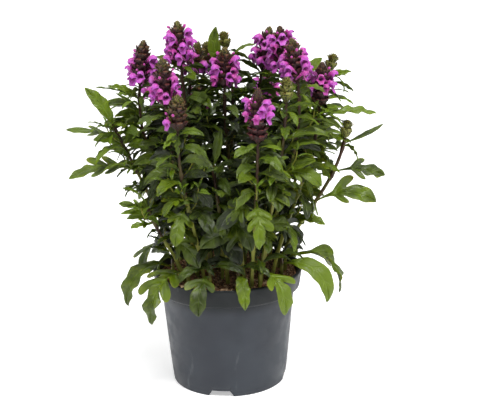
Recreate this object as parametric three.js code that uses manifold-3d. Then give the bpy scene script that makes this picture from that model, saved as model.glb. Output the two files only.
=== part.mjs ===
// Potted self-heal: a nursery pot of peat, leafy square stems, and a spike of two-lipped florets on each.
// Millimetres, +Z up. The origin is the centre of the pot's underside, and -Y is the front.
import * as THREE from 'three';
import { mergeVertices } from 'three/addons/utils/BufferGeometryUtils.js';
import Module from 'manifold-3d';

const wasm = await Module();
wasm.setup();

// Pot
const POT_HEIGHT = 132;
const RIM_RADIUS = 85;
const BAND_HEIGHT = 21.5;
const BAND_FOOT_RADIUS = 82;
const WALL_TOP_RADIUS = 75.8;
const WALL_FOOT_RADIUS = 67;
const WALL_FOOT_HEIGHT = 16;
const BASE_RADIUS = 65;
const POT_WALL = 2;
const POT_FLOOR = 3;
const POT_SIDES = 26;
const DRAIN_NOTCHES = 4;
const NOTCH_TURN = -99;
const NOTCH_FOOT_WIDTH = 30;
const NOTCH_TOP_WIDTH = 20;
const NOTCH_HEIGHT = 7;

// Peat
const PEAT_LEVEL = 126;
const PEAT_LUMP = 2.2;
const PEAT_RINGS = [24, 50];
const PEAT_SIDES = 15;
const PEAT_CLEARANCE = 1;
const PEAT_SPREAD = 3;

// Stems
const STEM_WIDTH = 3.8;
const STEM_TOP_WIDTH = 2.8;
const STEM_STEPS = 4;
const STEM_REACH = 0.36;
const STEM_LEAN = 0.75;
const LEAFY_RISE = 150;
const FOOT_DEPTH = 20;
const FOOT_RISE = 4;
const FIT_GAP = 0.35;

// Leaves
const BLADE_THICKNESS = 0.9;
const ROOT_DEPTH = 1.2;
const CROSSING_GAP = 0.5;
const SWINGS = [0, 13, -13, 26, -26, 40, -40, 55, -55];
const LIFTS = [0, 12, -12, 26, -26, 40];
const SHRINKS = [1, 0.8, 0.62];
const WELD = 0.06;

// Spikes
const CALYCES = 5;
const SPIKE_RADIUS = 6;
const SPIKE_FOOT = 0.5;
const SPIKE_TAPER = 0.62;
const CALYX_REACH = 2.8;
const CALYX_TAPER = 0.4;
const CALYX_LIFT = 0.35;
const FLORETS_MISSING = 0.42;

// A floret's points as [out, across, up] from the tip of its calyx.
const FLORET_NECK = [[-0.4, 1.2, -0.6], [-0.8, 0, 0.7], [-0.4, -1.2, -0.6], [0, 0, -1.8]];
const FLORET_THROAT = [0.8, 0, -0.4];
const FLORET_MOUTH = {
  notchRight: [3, 2.2, 1],
  hood: [6.8, 0, 3.5],
  notchLeft: [3, -2.2, 1],
  lobeLeft: [5.4, -3.5, -1.9],
  lip: [6.4, 0, -4.2],
  lobeRight: [5.4, 3.5, -1.9],
};

// Half a leaf's outline from its stalk to its last station, as [along, across] shares of its length.
// A lobe is the points that stand out between two stations.
const LEAF_SHAPES = {
  narrow: { stations: [[0.4, 0.12], [0.74, 0.13]], lobes: {} },
  broad: { stations: [[0.38, 0.16], [0.7, 0.19]], lobes: {} },
  fingered: { stations: [[0.34, 0.055], [0.5, 0.07], [0.76, 0.15]], lobes: { 0: [0.58, 0.29] } },
  cut: {
    stations: [[0.27, 0.045], [0.41, 0.06], [0.55, 0.065], [0.8, 0.13]],
    lobes: { 0: [0.48, 0.23], 1: [0.7, 0.27] },
  },
};

// Flowering stems: foot in the peat, foot and tip of the spike, its rows of calyces, the first and last
// row in bloom, and the way that the stem's square faces.
const FLOWERING = [
  { foot: [-44, 2], base: [-92, 10, 341], tip: [-86, 10, 389], rows: 7, bloom: [1, 4], turn: 20 },
  { foot: [-22, -4], base: [-46, 5, 363], tip: [-49, 5, 409], rows: 7, bloom: [1, 5], turn: 75 },
  { foot: [-34, -22], base: [-62, -35, 324], tip: [-64, -35, 375], rows: 7, bloom: [1, 4], turn: -30 },
  { foot: [-26, -42], base: [-49, -68, 304], tip: [-48, -68, 340], rows: 5, bloom: [1, 1], turn: 8 },
  { foot: [-18, 20], base: [-36, 40, 345], tip: [-28, 40, 382], rows: 5, bloom: [1, 2], turn: 50 },
  { foot: [-8, 44], base: [-23, 78, 342], tip: [-18, 78, 378], rows: 5, bloom: [1, 2], turn: 15 },
  { foot: [18, -50], base: [1, -5, 339], tip: [2, -5, 381], rows: 6, bloom: [1, 4], turn: -20 },
  { foot: [30, 0], base: [66, 6, 352], tip: [62, 6, 402], rows: 7, bloom: [1, 5], turn: 40 },
  { foot: [20, 24], base: [44, 42, 350], tip: [53, 42, 398], rows: 7, bloom: [1, 5], turn: 70 },
  { foot: [38, -28], base: [79, -28, 346], tip: [73, -28, 392], rows: 7, bloom: [1, 4], turn: 10 },
  { foot: [50, -30], base: [105, 0, 315], tip: [108, 0, 363], rows: 7, bloom: [3, 5], turn: 60 },
  { foot: [26, -60], base: [34, -78, 291], tip: [35, -78, 348], rows: 8, bloom: [4, 6], turn: 5 },
  { foot: [-40, 34], base: [-80, 66, 316], tip: [-78, 66, 362], rows: 6, bloom: [1, 3], turn: 35 },
  { foot: [-14, 60], base: [-30, 118, 280], tip: [-31, 123, 324], rows: 6, bloom: [2, 4], turn: 80 },
  { foot: [28, 54], base: [50, 102, 302], tip: [52, 105, 345], rows: 6, bloom: [1, 3], turn: 55 },
  { foot: [50, 38], base: [92, 64, 308], tip: [94, 66, 352], rows: 6, bloom: [2, 4], turn: 5 },
  { foot: [36, -46], base: [65, -52, 329], tip: [66, -52, 353], rows: 3, bloom: null, turn: 30 },
  { foot: [56, 22], base: [119, 34, 349], tip: [124, 34, 365], rows: 2, bloom: null, turn: 65 },
  { foot: [-6, -28], base: [4, 34, 376], tip: [1, 34, 392], rows: 2, bloom: null, turn: 0 },
  { foot: [58, 2], base: [134, 5, 278], tip: [137, 5, 295], rows: 2, bloom: null, turn: 35 },
];

// Leafy stems without a spike: foot in the peat and growing tip.
const LEAFY = [
  { foot: [-54, -10], top: [-122, -6, 300], turn: 90 },
  { foot: [-48, -32], top: [-84, -50, 216], turn: 20 },
  { foot: [0, -44], top: [-13, -54, 262], turn: 60 },
];

// Leaves that the front view shows plainly: their stem, share up it, tip, bend in degrees and shape.
const MARKED_LEAVES = [
  { on: 'leafy_stem_01', at: 0.93, tip: [-174, -6, 295], bend: 12, kind: 'fingered' },
  { on: 'leafy_stem_01', at: 0.97, tip: [-151, -4, 341], bend: 25, kind: 'broad' },
  { on: 'leafy_stem_01', at: 0.88, tip: [-142, -16, 265], bend: 30, kind: 'narrow' },
  { on: 'leafy_stem_01', at: 0.7, tip: [-172, -20, 243], bend: 50, kind: 'cut' },
  { on: 'leafy_stem_02', at: 0.96, tip: [-116, -46, 221], bend: 20, kind: 'fingered' },
  { on: 'leafy_stem_02', at: 0.8, tip: [-103, -60, 197], bend: 40, kind: 'fingered' },
  { on: 'leafy_stem_03', at: 0.98, tip: [-4, -50, 302], bend: -10, kind: 'narrow' },
  { on: 'leafy_stem_03', at: 0.96, tip: [-34, -66, 252], bend: 40, kind: 'narrow' },
  { on: 'leafy_stem_03', at: 0.94, tip: [8, -68, 268], bend: 40, kind: 'narrow' },
  { on: 'stem_01', at: 0.95, tip: [-128, 8, 340], bend: 30, kind: 'narrow' },
  { on: 'stem_04', at: 0.52, tip: [-54, -96, 186], bend: 80, kind: 'fingered' },
  { on: 'stem_04', at: 0.56, tip: [-80, -74, 215], bend: 45, kind: 'narrow' },
  { on: 'stem_04', at: 0.6, tip: [-22, -66, 240], bend: 40, kind: 'narrow' },
  { on: 'stem_07', at: 0.5, tip: [-8, -70, 226], bend: 30, kind: 'narrow' },
  { on: 'stem_12', at: 0.62, tip: [33, -106, 184], bend: 80, kind: 'cut' },
  { on: 'stem_12', at: 0.94, tip: [14, -92, 278], bend: 30, kind: 'narrow' },
  { on: 'stem_12', at: 0.95, tip: [62, -92, 268], bend: 50, kind: 'narrow' },
  { on: 'stem_17', at: 0.6, tip: [96, -64, 268], bend: 30, kind: 'broad' },
  { on: 'stem_11', at: 0.93, tip: [169, 0, 305], bend: 40, kind: 'narrow' },
  { on: 'stem_11', at: 0.7, tip: [78, -36, 262], bend: 40, kind: 'broad' },
  { on: 'stem_11', at: 0.32, tip: [108, -40, 190], bend: 50, kind: 'broad' },
  { on: 'stem_20', at: 0.5, tip: [169, -4, 205], bend: 75, kind: 'fingered' },
  { on: 'stem_20', at: 0.76, tip: [181, 12, 232], bend: 35, kind: 'fingered' },
  { on: 'stem_20', at: 0.96, tip: [179, 18, 290], bend: -15, kind: 'narrow' },
  { on: 'stem_18', at: 0.95, tip: [143, 24, 349], bend: 50, kind: 'narrow' },
  { on: 'stem_19', at: 0.9, tip: [-7, 30, 401], bend: -70, kind: 'broad' },
  { on: 'stem_19', at: 0.93, tip: [36, 22, 381], bend: 80, kind: 'narrow' },
];

// Leaf pairs up a stem: share of the stem, shape, length, and the slopes at the leaf's root and tip in
// degrees.
const PAIRS = [
  { at: 0.25, kind: 'fingered', length: 62, rise: 40, droop: -75 },
  { at: 0.48, kind: 'fingered', length: 58, rise: 40, droop: -65 },
  { at: 0.72, kind: 'narrow', length: 52, rise: 35, droop: -60 },
  { at: 0.94, kind: 'narrow', length: 38, rise: 25, droop: -60 },
];
const TUFT = { at: 0.99, kind: 'narrow', length: 40, rise: 65, droop: 20 };

// The plant is a vase in outline. How far out the tips of its pairs may reach grows from the foot's radius
// at the low height, by the spread at the high one, as a power of the height between them.
const OUTLINE = { foot: 80, spread: 70, low: 130, high: 260, power: 1.6 };

// The stems at the back, hidden behind the rest, have no second pair.
const BACK_ROW = 35;

// How far a leaf may stray from its pair: degrees, a share of its length, and roll in radians.
const PAIR_STRAYS = { heading: 14, rise: 12, droop: 16, length: 0.14, roll: 0.8 };
const MARKED_ROLL = 0.3;
const MARKED_SEED = 900;

// Young shoots round the rim: bearing, and the length and shape of the leaf that arches over the rim.
const RIM_SHOOTS = [
  { bearing: -158, length: 84, kind: 'broad' },
  { bearing: -131, length: 92, kind: 'cut' },
  { bearing: -107, length: 66, kind: 'fingered' },
  { bearing: -80, length: 56, kind: 'broad' },
  { bearing: -58, length: 74, kind: 'fingered' },
  { bearing: -24, length: 84, kind: 'broad' },
  { bearing: -2, length: 96, kind: 'fingered' },
  { bearing: 48, length: 80, kind: 'cut' },
  { bearing: 84, length: 84, kind: 'fingered' },
  { bearing: 146, length: 88, kind: 'cut' },
];
const RIM_SHOOT_RADIUS = 66;
const RIM_SHOOT_HEIGHT = 24;
const OVER_LEAF = { at: 0.5, rise: 34, droop: -104 };
const SIDE_LEAF = { at: 0.95, turn: 86, kind: 'narrow', length: 46, rise: 45, droop: -50 };
const SHOOT_ROLL = 0.4;

const radians = THREE.MathUtils.degToRad;
const vector = (p) => new THREE.Vector3(p[0], p[1], p[2]);

// A repeatable share from 0 to 1 for a whole number, and the same spread about 0.
const share = (n) => {
  const wave = Math.sin(n * 12.9898) * 43758.5453;
  return wave - Math.floor(wave);
};
const stray = (n, most) => (share(n) * 2 - 1) * most;

// A closed solid from its points and its triangles.
function solidOf(points, triangles) {
  const vertProperties = new Float32Array(points.flatMap((p) => [p.x, p.y, p.z]));
  const triVerts = new Uint32Array(triangles.flat());
  return new wasm.Manifold(new wasm.Mesh({ numProp: 3, vertProperties, triVerts }));
}

// A closed three.js geometry as a solid: like points are merged, and triangles that collapse are dropped.
function solidFrom(geometry) {
  geometry.deleteAttribute('normal');
  geometry.deleteAttribute('uv');
  const merged = mergeVertices(geometry, 1e-3);
  const position = merged.getAttribute('position');
  const pointAt = (_, i) => new THREE.Vector3().fromBufferAttribute(position, i);
  const points = Array.from({ length: position.count }, pointAt);
  const index = merged.index.array;
  const triangles = [];
  for (let i = 0; i < index.length; i += 3) {
    const [a, b, c] = [index[i], index[i + 1], index[i + 2]];
    if (a !== b && b !== c && c !== a) triangles.push([a, b, c]);
  }
  return solidOf(points, triangles);
}

// Rings of points, each joined to the next. Either end closes on its centre, or across where none is given.
function solidOfRings(rings, firstCentre, lastCentre) {
  const sides = rings[0].length;
  const points = rings.flat();
  const triangles = [];
  const close = (start, centre, turned) => {
    const hub = centre ? points.push(centre) - 1 : start;
    for (let i = centre ? 0 : 1; i < sides - (centre ? 0 : 1); i++) {
      const [a, b] = [start + i, start + ((i + 1) % sides)];
      triangles.push(turned ? [hub, b, a] : [hub, a, b]);
    }
  };
  for (let r = 0; r < rings.length - 1; r++) {
    for (let i = 0; i < sides; i++) {
      const next = (i + 1) % sides;
      const [low, high] = [r * sides, (r + 1) * sides];
      triangles.push([low + i, low + next, high + next], [low + i, high + next, high + i]);
    }
  }
  close(0, firstCentre, true);
  close((rings.length - 1) * sides, lastCentre, false);
  return solidOf(points, triangles);
}

function meshOf(name, solid, material) {
  const { numProp, vertProperties, triVerts } = solid.getMesh();
  const geometry = new THREE.BufferGeometry();
  geometry.setAttribute('position', new THREE.BufferAttribute(new Float32Array(vertProperties), numProp));
  geometry.setIndex(new THREE.BufferAttribute(new Uint32Array(triVerts), 1));
  geometry.computeVertexNormals();
  const mesh = new THREE.Mesh(geometry, material);
  mesh.name = name;
  return mesh;
}

const potPlastic = new THREE.MeshStandardMaterial({ color: 0x41464c, roughness: 0.55, metalness: 0 });
const peat = new THREE.MeshStandardMaterial({ color: 0x4a2f20, roughness: 1, metalness: 0 });
const foliage = new THREE.MeshStandardMaterial({ color: 0x3f6a1e, roughness: 0.6, metalness: 0 });
const blossom = new THREE.MeshStandardMaterial({ color: 0xb548b4, roughness: 0.6, metalness: 0 });
const greenBud = new THREE.MeshStandardMaterial({ color: 0x6d8a2c, roughness: 0.6, metalness: 0 });

// The pot is turned from one profile: flat base, tapering wall, a ledge, and the band up to the rim.
function makePot() {
  const ledgeHeight = POT_HEIGHT - BAND_HEIGHT;
  const edge = 1.2;
  const profile = [
    [0, 0],
    [BASE_RADIUS, 0],
    [WALL_FOOT_RADIUS, WALL_FOOT_HEIGHT],
    [WALL_TOP_RADIUS, ledgeHeight],
    [BAND_FOOT_RADIUS, ledgeHeight + edge],
    [RIM_RADIUS, POT_HEIGHT - edge],
    [RIM_RADIUS - edge, POT_HEIGHT],
    [RIM_RADIUS - POT_WALL - edge, POT_HEIGHT],
    [WALL_TOP_RADIUS - POT_WALL, ledgeHeight],
    [BASE_RADIUS - POT_WALL, POT_FLOOR],
    [0, POT_FLOOR],
  ];
  const turned = new THREE.LatheGeometry(profile.map(([r, z]) => new THREE.Vector2(r, z)), POT_SIDES);
  turned.rotateX(Math.PI / 2);
  let pot = solidFrom(turned);
  for (let i = 0; i < DRAIN_NOTCHES; i++) {
    pot = pot.subtract(makeNotch(NOTCH_TURN + (i * 360) / DRAIN_NOTCHES));
  }
  return pot;
}

// A drain notch: a trapezoid that runs outwards through the foot of the wall.
function makeNotch(bearing) {
  const depth = 16;
  const outline = new THREE.Shape([
    new THREE.Vector2(-NOTCH_FOOT_WIDTH / 2, -1),
    new THREE.Vector2(NOTCH_FOOT_WIDTH / 2, -1),
    new THREE.Vector2(NOTCH_TOP_WIDTH / 2, NOTCH_HEIGHT),
    new THREE.Vector2(-NOTCH_TOP_WIDTH / 2, NOTCH_HEIGHT),
  ]);
  const cutter = new THREE.ExtrudeGeometry(outline, { depth, bevelEnabled: false });
  cutter.rotateX(Math.PI / 2);
  cutter.rotateZ(Math.PI / 2);
  cutter.translate(BASE_RADIUS - depth / 2, 0, 0);
  cutter.rotateZ(radians(bearing));
  return solidFrom(cutter);
}

// The peat fills the pot as one plug with a lumpy top, and each stem stands in a plain hole in it.
function makePeat(holes) {
  const ring = (radius, height, lump) => Array.from({ length: PEAT_SIDES }, (_, i) => {
    const angle = (2 * Math.PI * i) / PEAT_SIDES;
    const rise = lump ? stray(i + Math.round(radius) * 7, PEAT_LUMP) : 0;
    return new THREE.Vector3(radius * Math.cos(angle), radius * Math.sin(angle), height + rise);
  });
  const footRadius = BASE_RADIUS - POT_WALL - PEAT_CLEARANCE;
  const ledgeRadius = WALL_TOP_RADIUS - POT_WALL - PEAT_CLEARANCE;
  const footHeight = POT_FLOOR + FIT_GAP;
  const rings = [
    ring(footRadius, footHeight, false),
    ring(ledgeRadius, POT_HEIGHT - BAND_HEIGHT, false),
    ring(ledgeRadius + PEAT_SPREAD, PEAT_LEVEL - PEAT_LUMP, false),
    ...PEAT_RINGS.toReversed().map((radius) => ring(radius, PEAT_LEVEL, true)),
  ];
  const plug = solidOfRings(rings, new THREE.Vector3(0, 0, footHeight), new THREE.Vector3(0, 0, PEAT_LEVEL));
  return plug.subtract(wasm.Manifold.union(holes));
}

// The four corners of a square stem at a point, square to the way it grows.
function stemCorners(centre, along, width, turn) {
  const side = new THREE.Vector3(Math.cos(turn), Math.sin(turn), 0);
  const across = new THREE.Vector3().crossVectors(along, side).normalize();
  side.crossVectors(across, along);
  return [[1, 1], [-1, 1], [-1, -1], [1, -1]].map(([u, v]) =>
    centre.clone().addScaledVector(side, (u * width) / 2).addScaledVector(across, (v * width) / 2));
}

// The line that a stem follows above the peat: up from its foot, then over towards its top.
function stemCurve(foot, top, along) {
  const start = new THREE.Vector3(foot[0], foot[1], PEAT_LEVEL + FOOT_RISE);
  const reach = start.distanceTo(top) * STEM_REACH;
  const lean = new THREE.Vector3().subVectors(top, start).normalize();
  const leave = new THREE.Vector3(lean.x * STEM_LEAN, lean.y * STEM_LEAN, 1).normalize();
  return new THREE.CubicBezierCurve3(
    start,
    start.clone().addScaledVector(leave, reach),
    top.clone().addScaledVector(along, -reach),
    top,
  );
}

// A stem's solid: a straight foot below the peat, then the curve, thinning towards the top.
function makeStem(curve, turn) {
  const start = curve.v0;
  const footEnd = new THREE.Vector3(start.x, start.y, PEAT_LEVEL - FOOT_DEPTH);
  const vertical = new THREE.Vector3(0, 0, 1);
  const rings = [footEnd, start].map((centre) => stemCorners(centre, vertical, STEM_WIDTH, turn));
  for (let i = 1; i <= STEM_STEPS; i++) {
    const t = i / STEM_STEPS;
    const width = THREE.MathUtils.lerp(STEM_WIDTH, STEM_TOP_WIDTH, t);
    rings.push(stemCorners(curve.getPoint(t), curve.getTangent(t), width, turn));
  }
  return solidOfRings(rings);
}

function makeHole(foot, turn) {
  const vertical = new THREE.Vector3(0, 0, 1);
  const width = STEM_WIDTH + 2 * FIT_GAP;
  const corners = (z) => stemCorners(new THREE.Vector3(foot[0], foot[1], z), vertical, width, turn);
  const [low, high] = [PEAT_LEVEL - FOOT_DEPTH - FIT_GAP, PEAT_LEVEL + FOOT_RISE];
  return solidOfRings([corners(low), corners(high)]);
}

// A leaf's midrib is a circular arc: it leaves the stem at the angle rise and ends at the angle droop.
// Returns the frame at a share of its length: the point, the way along, the way across and the upper side.
function ribFrame(leaf, t) {
  const { root, heading, rise, droop, length, roll } = leaf;
  const bend = droop - rise;
  const angle = rise + bend * t;
  const out = new THREE.Vector3(Math.cos(heading), Math.sin(heading), 0);
  const side = new THREE.Vector3(-Math.sin(heading), Math.cos(heading), 0);
  const forward = (length * (Math.sin(angle) - Math.sin(rise))) / bend;
  const upward = (length * (Math.cos(rise) - Math.cos(angle))) / bend;
  const point = root.clone().addScaledVector(out, forward);
  point.z += upward;
  const upper = out.clone().multiplyScalar(-Math.sin(angle));
  upper.z += Math.cos(angle);
  const across = side.clone().multiplyScalar(Math.cos(roll * t)).addScaledVector(upper, Math.sin(roll * t));
  upper.multiplyScalar(Math.cos(roll * t)).addScaledVector(side, -Math.sin(roll * t));
  return { point, across, upper };
}

// A leaf from its root to a given tip, bent by an angle on the way.
function leafTo({ tip, bend, kind }, root, roll) {
  const chord = vector(tip).sub(root);
  const level = Math.hypot(chord.x, chord.y);
  const half = radians(bend) / 2;
  const slope = Math.atan2(chord.z, level);
  return {
    root, kind, roll,
    heading: Math.atan2(chord.y, chord.x),
    rise: slope + half,
    droop: slope - half,
    length: (chord.length() * half) / Math.sin(half),
  };
}

// A leaf's solid: its outline is laid along the midrib, with the same triangles on both faces.
function makeLeaf(leaf) {
  const { stations, lobes } = LEAF_SHAPES[leaf.kind];
  const outline = [[-ROOT_DEPTH / leaf.length, 0]];
  const faces = [];
  const [rightEdge, leftEdge] = [[], []];
  const addPair = ([along, across]) => {
    const pair = [outline.push([along, -across]) - 1, outline.push([along, across]) - 1];
    rightEdge.push(pair[0]);
    leftEdge.push(pair[1]);
    return pair;
  };
  let last = addPair(stations[0]);
  faces.push([0, ...last]);
  stations.slice(1).forEach((station, i) => {
    const lobe = lobes[i] && addPair(lobes[i]);
    const [right, left] = addPair(station);
    if (lobe) faces.push([last[0], lobe[0], right], [last[1], left, lobe[1]]);
    faces.push([last[0], right, left], [last[0], left, last[1]]);
    last = [right, left];
  });
  const end = outline.push([1, 0]) - 1;
  faces.push([last[0], end, last[1]]);
  const edge = [0, ...rightEdge, end, ...leftEdge.toReversed()];

  const count = outline.length;
  const face = (height) => outline.map(([along, across]) => {
    const { point, across: way, upper } = ribFrame(leaf, along);
    return point.addScaledVector(way, across * leaf.length).addScaledVector(upper, height);
  });
  const points = [...face(BLADE_THICKNESS / 2), ...face(-BLADE_THICKNESS / 2)];
  const triangles = faces.flatMap(([a, b, c]) => [[a, b, c], [a + count, c + count, b + count]]);
  edge.forEach((a, i) => {
    const b = edge[(i + 1) % edge.length];
    triangles.push([a, a + count, b], [b, a + count, b + count]);
  });
  return solidOf(points, triangles);
}

// A spike's own directions: up its axis, and two ways square to it.
function spikeAxes(base, tip) {
  const up = new THREE.Vector3().subVectors(tip, base).normalize();
  const side = new THREE.Vector3().crossVectors(new THREE.Vector3(0, 1, 0), up).normalize();
  return { up, side, front: new THREE.Vector3().crossVectors(up, side) };
}

// A spike: rows of points up its axis that stand out as calyces and fall back between them, turn about.
// Where a calyx blooms, its point gives way to a floret that grows out of the four hollows round it.
function makeSpike({ base, tip, rows, bloom }, index) {
  const [foot, end] = [vector(base), vector(tip)];
  const axes = spikeAxes(foot, end);
  const pitch = foot.distanceTo(end) / (rows + 0.5);
  const columns = 2 * CALYCES;
  const id = (row, i) => row * columns + ((i + columns) % columns);
  const isCalyx = (row, i) => (row + i) % 2 === 1;
  const blooms = (row, i) => bloom && isCalyx(row, i) && row >= bloom[0] && row <= bloom[1]
    && share(index * 31 + row * 7 + i) > FLORETS_MISSING;
  const points = [];
  const triangles = [];
  const opened = [];

  for (let row = 0; row <= rows; row++) {
    const height = row / rows;
    const radius = SPIKE_RADIUS * (row ? 1 - SPIKE_TAPER * height ** 2 : SPIKE_FOOT);
    for (let i = 0; i < columns; i++) {
      const out = row && isCalyx(row, i);
      const reach = out ? CALYX_REACH * (1 - CALYX_TAPER * height) : 0;
      const along = pitch * (row + (out ? CALYX_LIFT : 0));
      points.push(spikePoint(foot, axes, (Math.PI * i) / CALYCES, radius + reach, along));
      if (row && blooms(row, i)) opened.push({ row, i, radius: radius + reach });
    }
  }
  const hub = points.push(end.clone()) - 1;
  const closed = new Set(opened.map(({ row, i }) => id(row, i)));
  const addFace = (...corners) => {
    if (!corners.some((corner) => closed.has(corner))) triangles.push(corners);
  };
  for (let i = 0; i < columns; i++) {
    if (i > 0 && i < columns - 1) addFace(id(0, 0), id(0, i + 1), id(0, i));
    addFace(hub, id(rows, i), id(rows, i + 1));
    for (let row = 0; row < rows; row++) {
      const [a, b, c, d] = [id(row, i), id(row, i + 1), id(row + 1, i + 1), id(row + 1, i)];
      if (isCalyx(row, i)) {
        addFace(a, b, d);
        addFace(b, c, d);
      } else {
        addFace(a, b, c);
        addFace(a, c, d);
      }
    }
  }
  opened.forEach(({ row, i, radius }) => addFloret({
    points, triangles, foot, axes,
    root: [id(row, i + 1), id(row + 1, i), id(row, i - 1), id(row - 1, i)],
    centre: id(row, i),
    angle: (Math.PI * i) / CALYCES,
    radius,
    along: pitch * (row + 0.5),
  }));
  return solidOf(points, triangles);
}

// A point round a spike's axis.
function spikePoint(foot, { up, side, front }, angle, radius, along) {
  return foot.clone()
    .addScaledVector(side, radius * Math.cos(angle))
    .addScaledVector(front, radius * Math.sin(angle))
    .addScaledVector(up, along);
}

// A floret: a neck out of the calyx that opens into a hood above, a lip of three lobes below, and a throat.
function addFloret({ points, triangles, root, centre, foot, axes, angle, radius, along }) {
  const out = axes.side.clone().multiplyScalar(Math.cos(angle)).addScaledVector(axes.front, Math.sin(angle));
  const sideways = new THREE.Vector3().crossVectors(axes.up, out);
  const at = ([forward, across, upward]) => spikePoint(foot, axes, angle, radius + forward, along + upward)
    .addScaledVector(sideways, across);
  const add = (place) => points.push(at(place)) - 1;
  const neck = FLORET_NECK.map(add);
  const mouth = Object.values(FLORET_MOUTH).map(add);
  const [notchRight, , notchLeft, lobeLeft, , lobeRight] = mouth;
  points[centre] = at(FLORET_THROAT);
  neck.forEach((corner, i) => {
    const next = (i + 1) % neck.length;
    triangles.push([root[i], root[next], neck[next]], [root[i], neck[next], corner]);
  });
  const nearestNeck = [neck[1], neck[1], neck[2], neck[3], neck[3], neck[0]];
  mouth.forEach((a, i) => {
    const b = mouth[(i + 1) % mouth.length];
    triangles.push([nearestNeck[i], b, a], [centre, a, b]);
  });
  triangles.push(
    [neck[0], neck[1], notchRight], [neck[1], neck[2], notchLeft],
    [neck[2], neck[3], lobeLeft], [neck[3], neck[0], lobeRight],
  );
}

// Everything that stands is kept here with its node's name, so that a leaf can be bent clear of it.
const standing = [];

function stand(node, solid, pairName) {
  standing.push({ node, solid, box: solid.boundingBox(), pairName });
}

const apart = (a, b) => [0, 1, 2].some((i) =>
  a.min[i] > b.max[i] + CROSSING_GAP || b.min[i] > a.max[i] + CROSSING_GAP);

// A leaf may touch its own stem and its own pair, which it joins. Nothing else may come nearer than the gap.
function crosses(node, solid, pairName) {
  const box = solid.boundingBox();
  return standing.some((other) => {
    const joined = other.node === node && (!other.pairName || other.pairName === pairName);
    if (joined || apart(box, other.box)) return false;
    return solid.minGap(other.solid, CROSSING_GAP) < CROSSING_GAP - 1e-3;
  });
}

// Whether a leaf's tip is further out than the plant's outline at its height.
function pastOutline(leaf) {
  const tip = ribFrame(leaf, 1).point;
  const height = Math.max(0, (tip.z - OUTLINE.low) / (OUTLINE.high - OUTLINE.low));
  return Math.hypot(tip.x, tip.y) > OUTLINE.foot + OUTLINE.spread * height ** OUTLINE.power;
}

// A leaf is swung, lifted or made shorter until it is clear of everything else, and inside the outline where
// it is bounded, or else it is left off.
function growLeaf(node, pairName, leaf, bounded = false) {
  for (const shrink of SHRINKS) {
    for (const lift of LIFTS) {
      for (const swing of SWINGS) {
        const tried = {
          ...leaf,
          heading: leaf.heading + radians(swing),
          rise: leaf.rise + radians(lift),
          droop: leaf.droop + radians(lift),
          length: leaf.length * shrink,
        };
        if (bounded && pastOutline(tried)) continue;
        const solid = makeLeaf(tried);
        if (crosses(node, solid, pairName)) continue;
        stand(node, solid, pairName);
        return [solid];
      }
    }
  }
  return [];
}

// The pot, spikes, stems and peat take their places first.
const number = (i) => String(i + 1).padStart(2, '0');
const pot = makePot();
stand('pot', pot);

const spikes = FLOWERING.map((plan, i) => ({ name: `spike_${number(i)}`, plan, solid: makeSpike(plan, i) }));
spikes.forEach(({ name, solid }) => stand(name, solid));

const floweringStems = FLOWERING.map((plan, i) => {
  const along = spikeAxes(vector(plan.base), vector(plan.tip)).up;
  const top = vector(plan.base).addScaledVector(along, -FIT_GAP);
  const pairs = plan.base[1] < BACK_ROW ? PAIRS : PAIRS.filter((_, p) => p !== 1);
  return { name: `stem_${number(i)}`, foot: plan.foot, turn: radians(plan.turn), top, along, pairs };
});
const leafyStems = LEAFY.map(({ foot, top, turn }, i) => ({
  name: `leafy_stem_${number(i)}`,
  foot,
  turn: radians(turn),
  top: vector(top),
  along: new THREE.Vector3(top[0] - foot[0], top[1] - foot[1], LEAFY_RISE).normalize(),
  pairs: [...PAIRS.slice(0, 2), TUFT],
}));
const stems = [...floweringStems, ...leafyStems];

const shoots = RIM_SHOOTS.map(({ bearing, length, kind }, i) => {
  const turn = radians(bearing);
  const foot = [RIM_SHOOT_RADIUS * Math.cos(turn), RIM_SHOOT_RADIUS * Math.sin(turn)];
  const top = new THREE.Vector3(...foot, PEAT_LEVEL + RIM_SHOOT_HEIGHT);
  return { name: `rim_shoot_${number(i)}`, foot, turn, top, along: new THREE.Vector3(0, 0, 1), length, kind };
});

[...stems, ...shoots].forEach((stem) => {
  stem.curve = stemCurve(stem.foot, stem.top, stem.along);
  stem.solids = [makeStem(stem.curve, stem.turn)];
  stand(stem.name, stem.solids[0]);
});

const peatPlug = makePeat([...stems, ...shoots].map(({ foot, turn }) => makeHole(foot, turn)));
stand('peat', peatPlug);

// The leaves follow: those that the front view shows, those round the rim, then the pairs up each stem.
MARKED_LEAVES.forEach((leaf, i) => {
  const stem = stems.find(({ name }) => name === leaf.on);
  const placed = leafTo(leaf, stem.curve.getPoint(leaf.at), stray(i + MARKED_SEED, MARKED_ROLL));
  stem.solids.push(...growLeaf(stem.name, `marked${i}`, placed));
});

shoots.forEach(({ name, curve, turn, length, kind, solids }, i) => {
  solids.push(...growLeaf(name, 'over', {
    root: curve.getPoint(OVER_LEAF.at),
    heading: turn,
    rise: radians(OVER_LEAF.rise),
    droop: radians(OVER_LEAF.droop),
    length,
    roll: stray(i, SHOOT_ROLL),
    kind,
  }));
  for (const side of [1, -1]) {
    solids.push(...growLeaf(name, 'sides', {
      root: curve.getPoint(SIDE_LEAF.at),
      heading: turn + side * radians(SIDE_LEAF.turn),
      rise: radians(SIDE_LEAF.rise),
      droop: radians(SIDE_LEAF.droop),
      length: SIDE_LEAF.length,
      roll: stray(i + side, SHOOT_ROLL),
      kind: SIDE_LEAF.kind,
    }));
  }
});

// A leaf's strays: the same draw for each quality, a hundred numbers apart.
const strays = (seed) => Object.fromEntries(Object.entries(PAIR_STRAYS).map(([quality, most], i) =>
  [quality, stray(seed + 100 * i, most)]));

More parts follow.
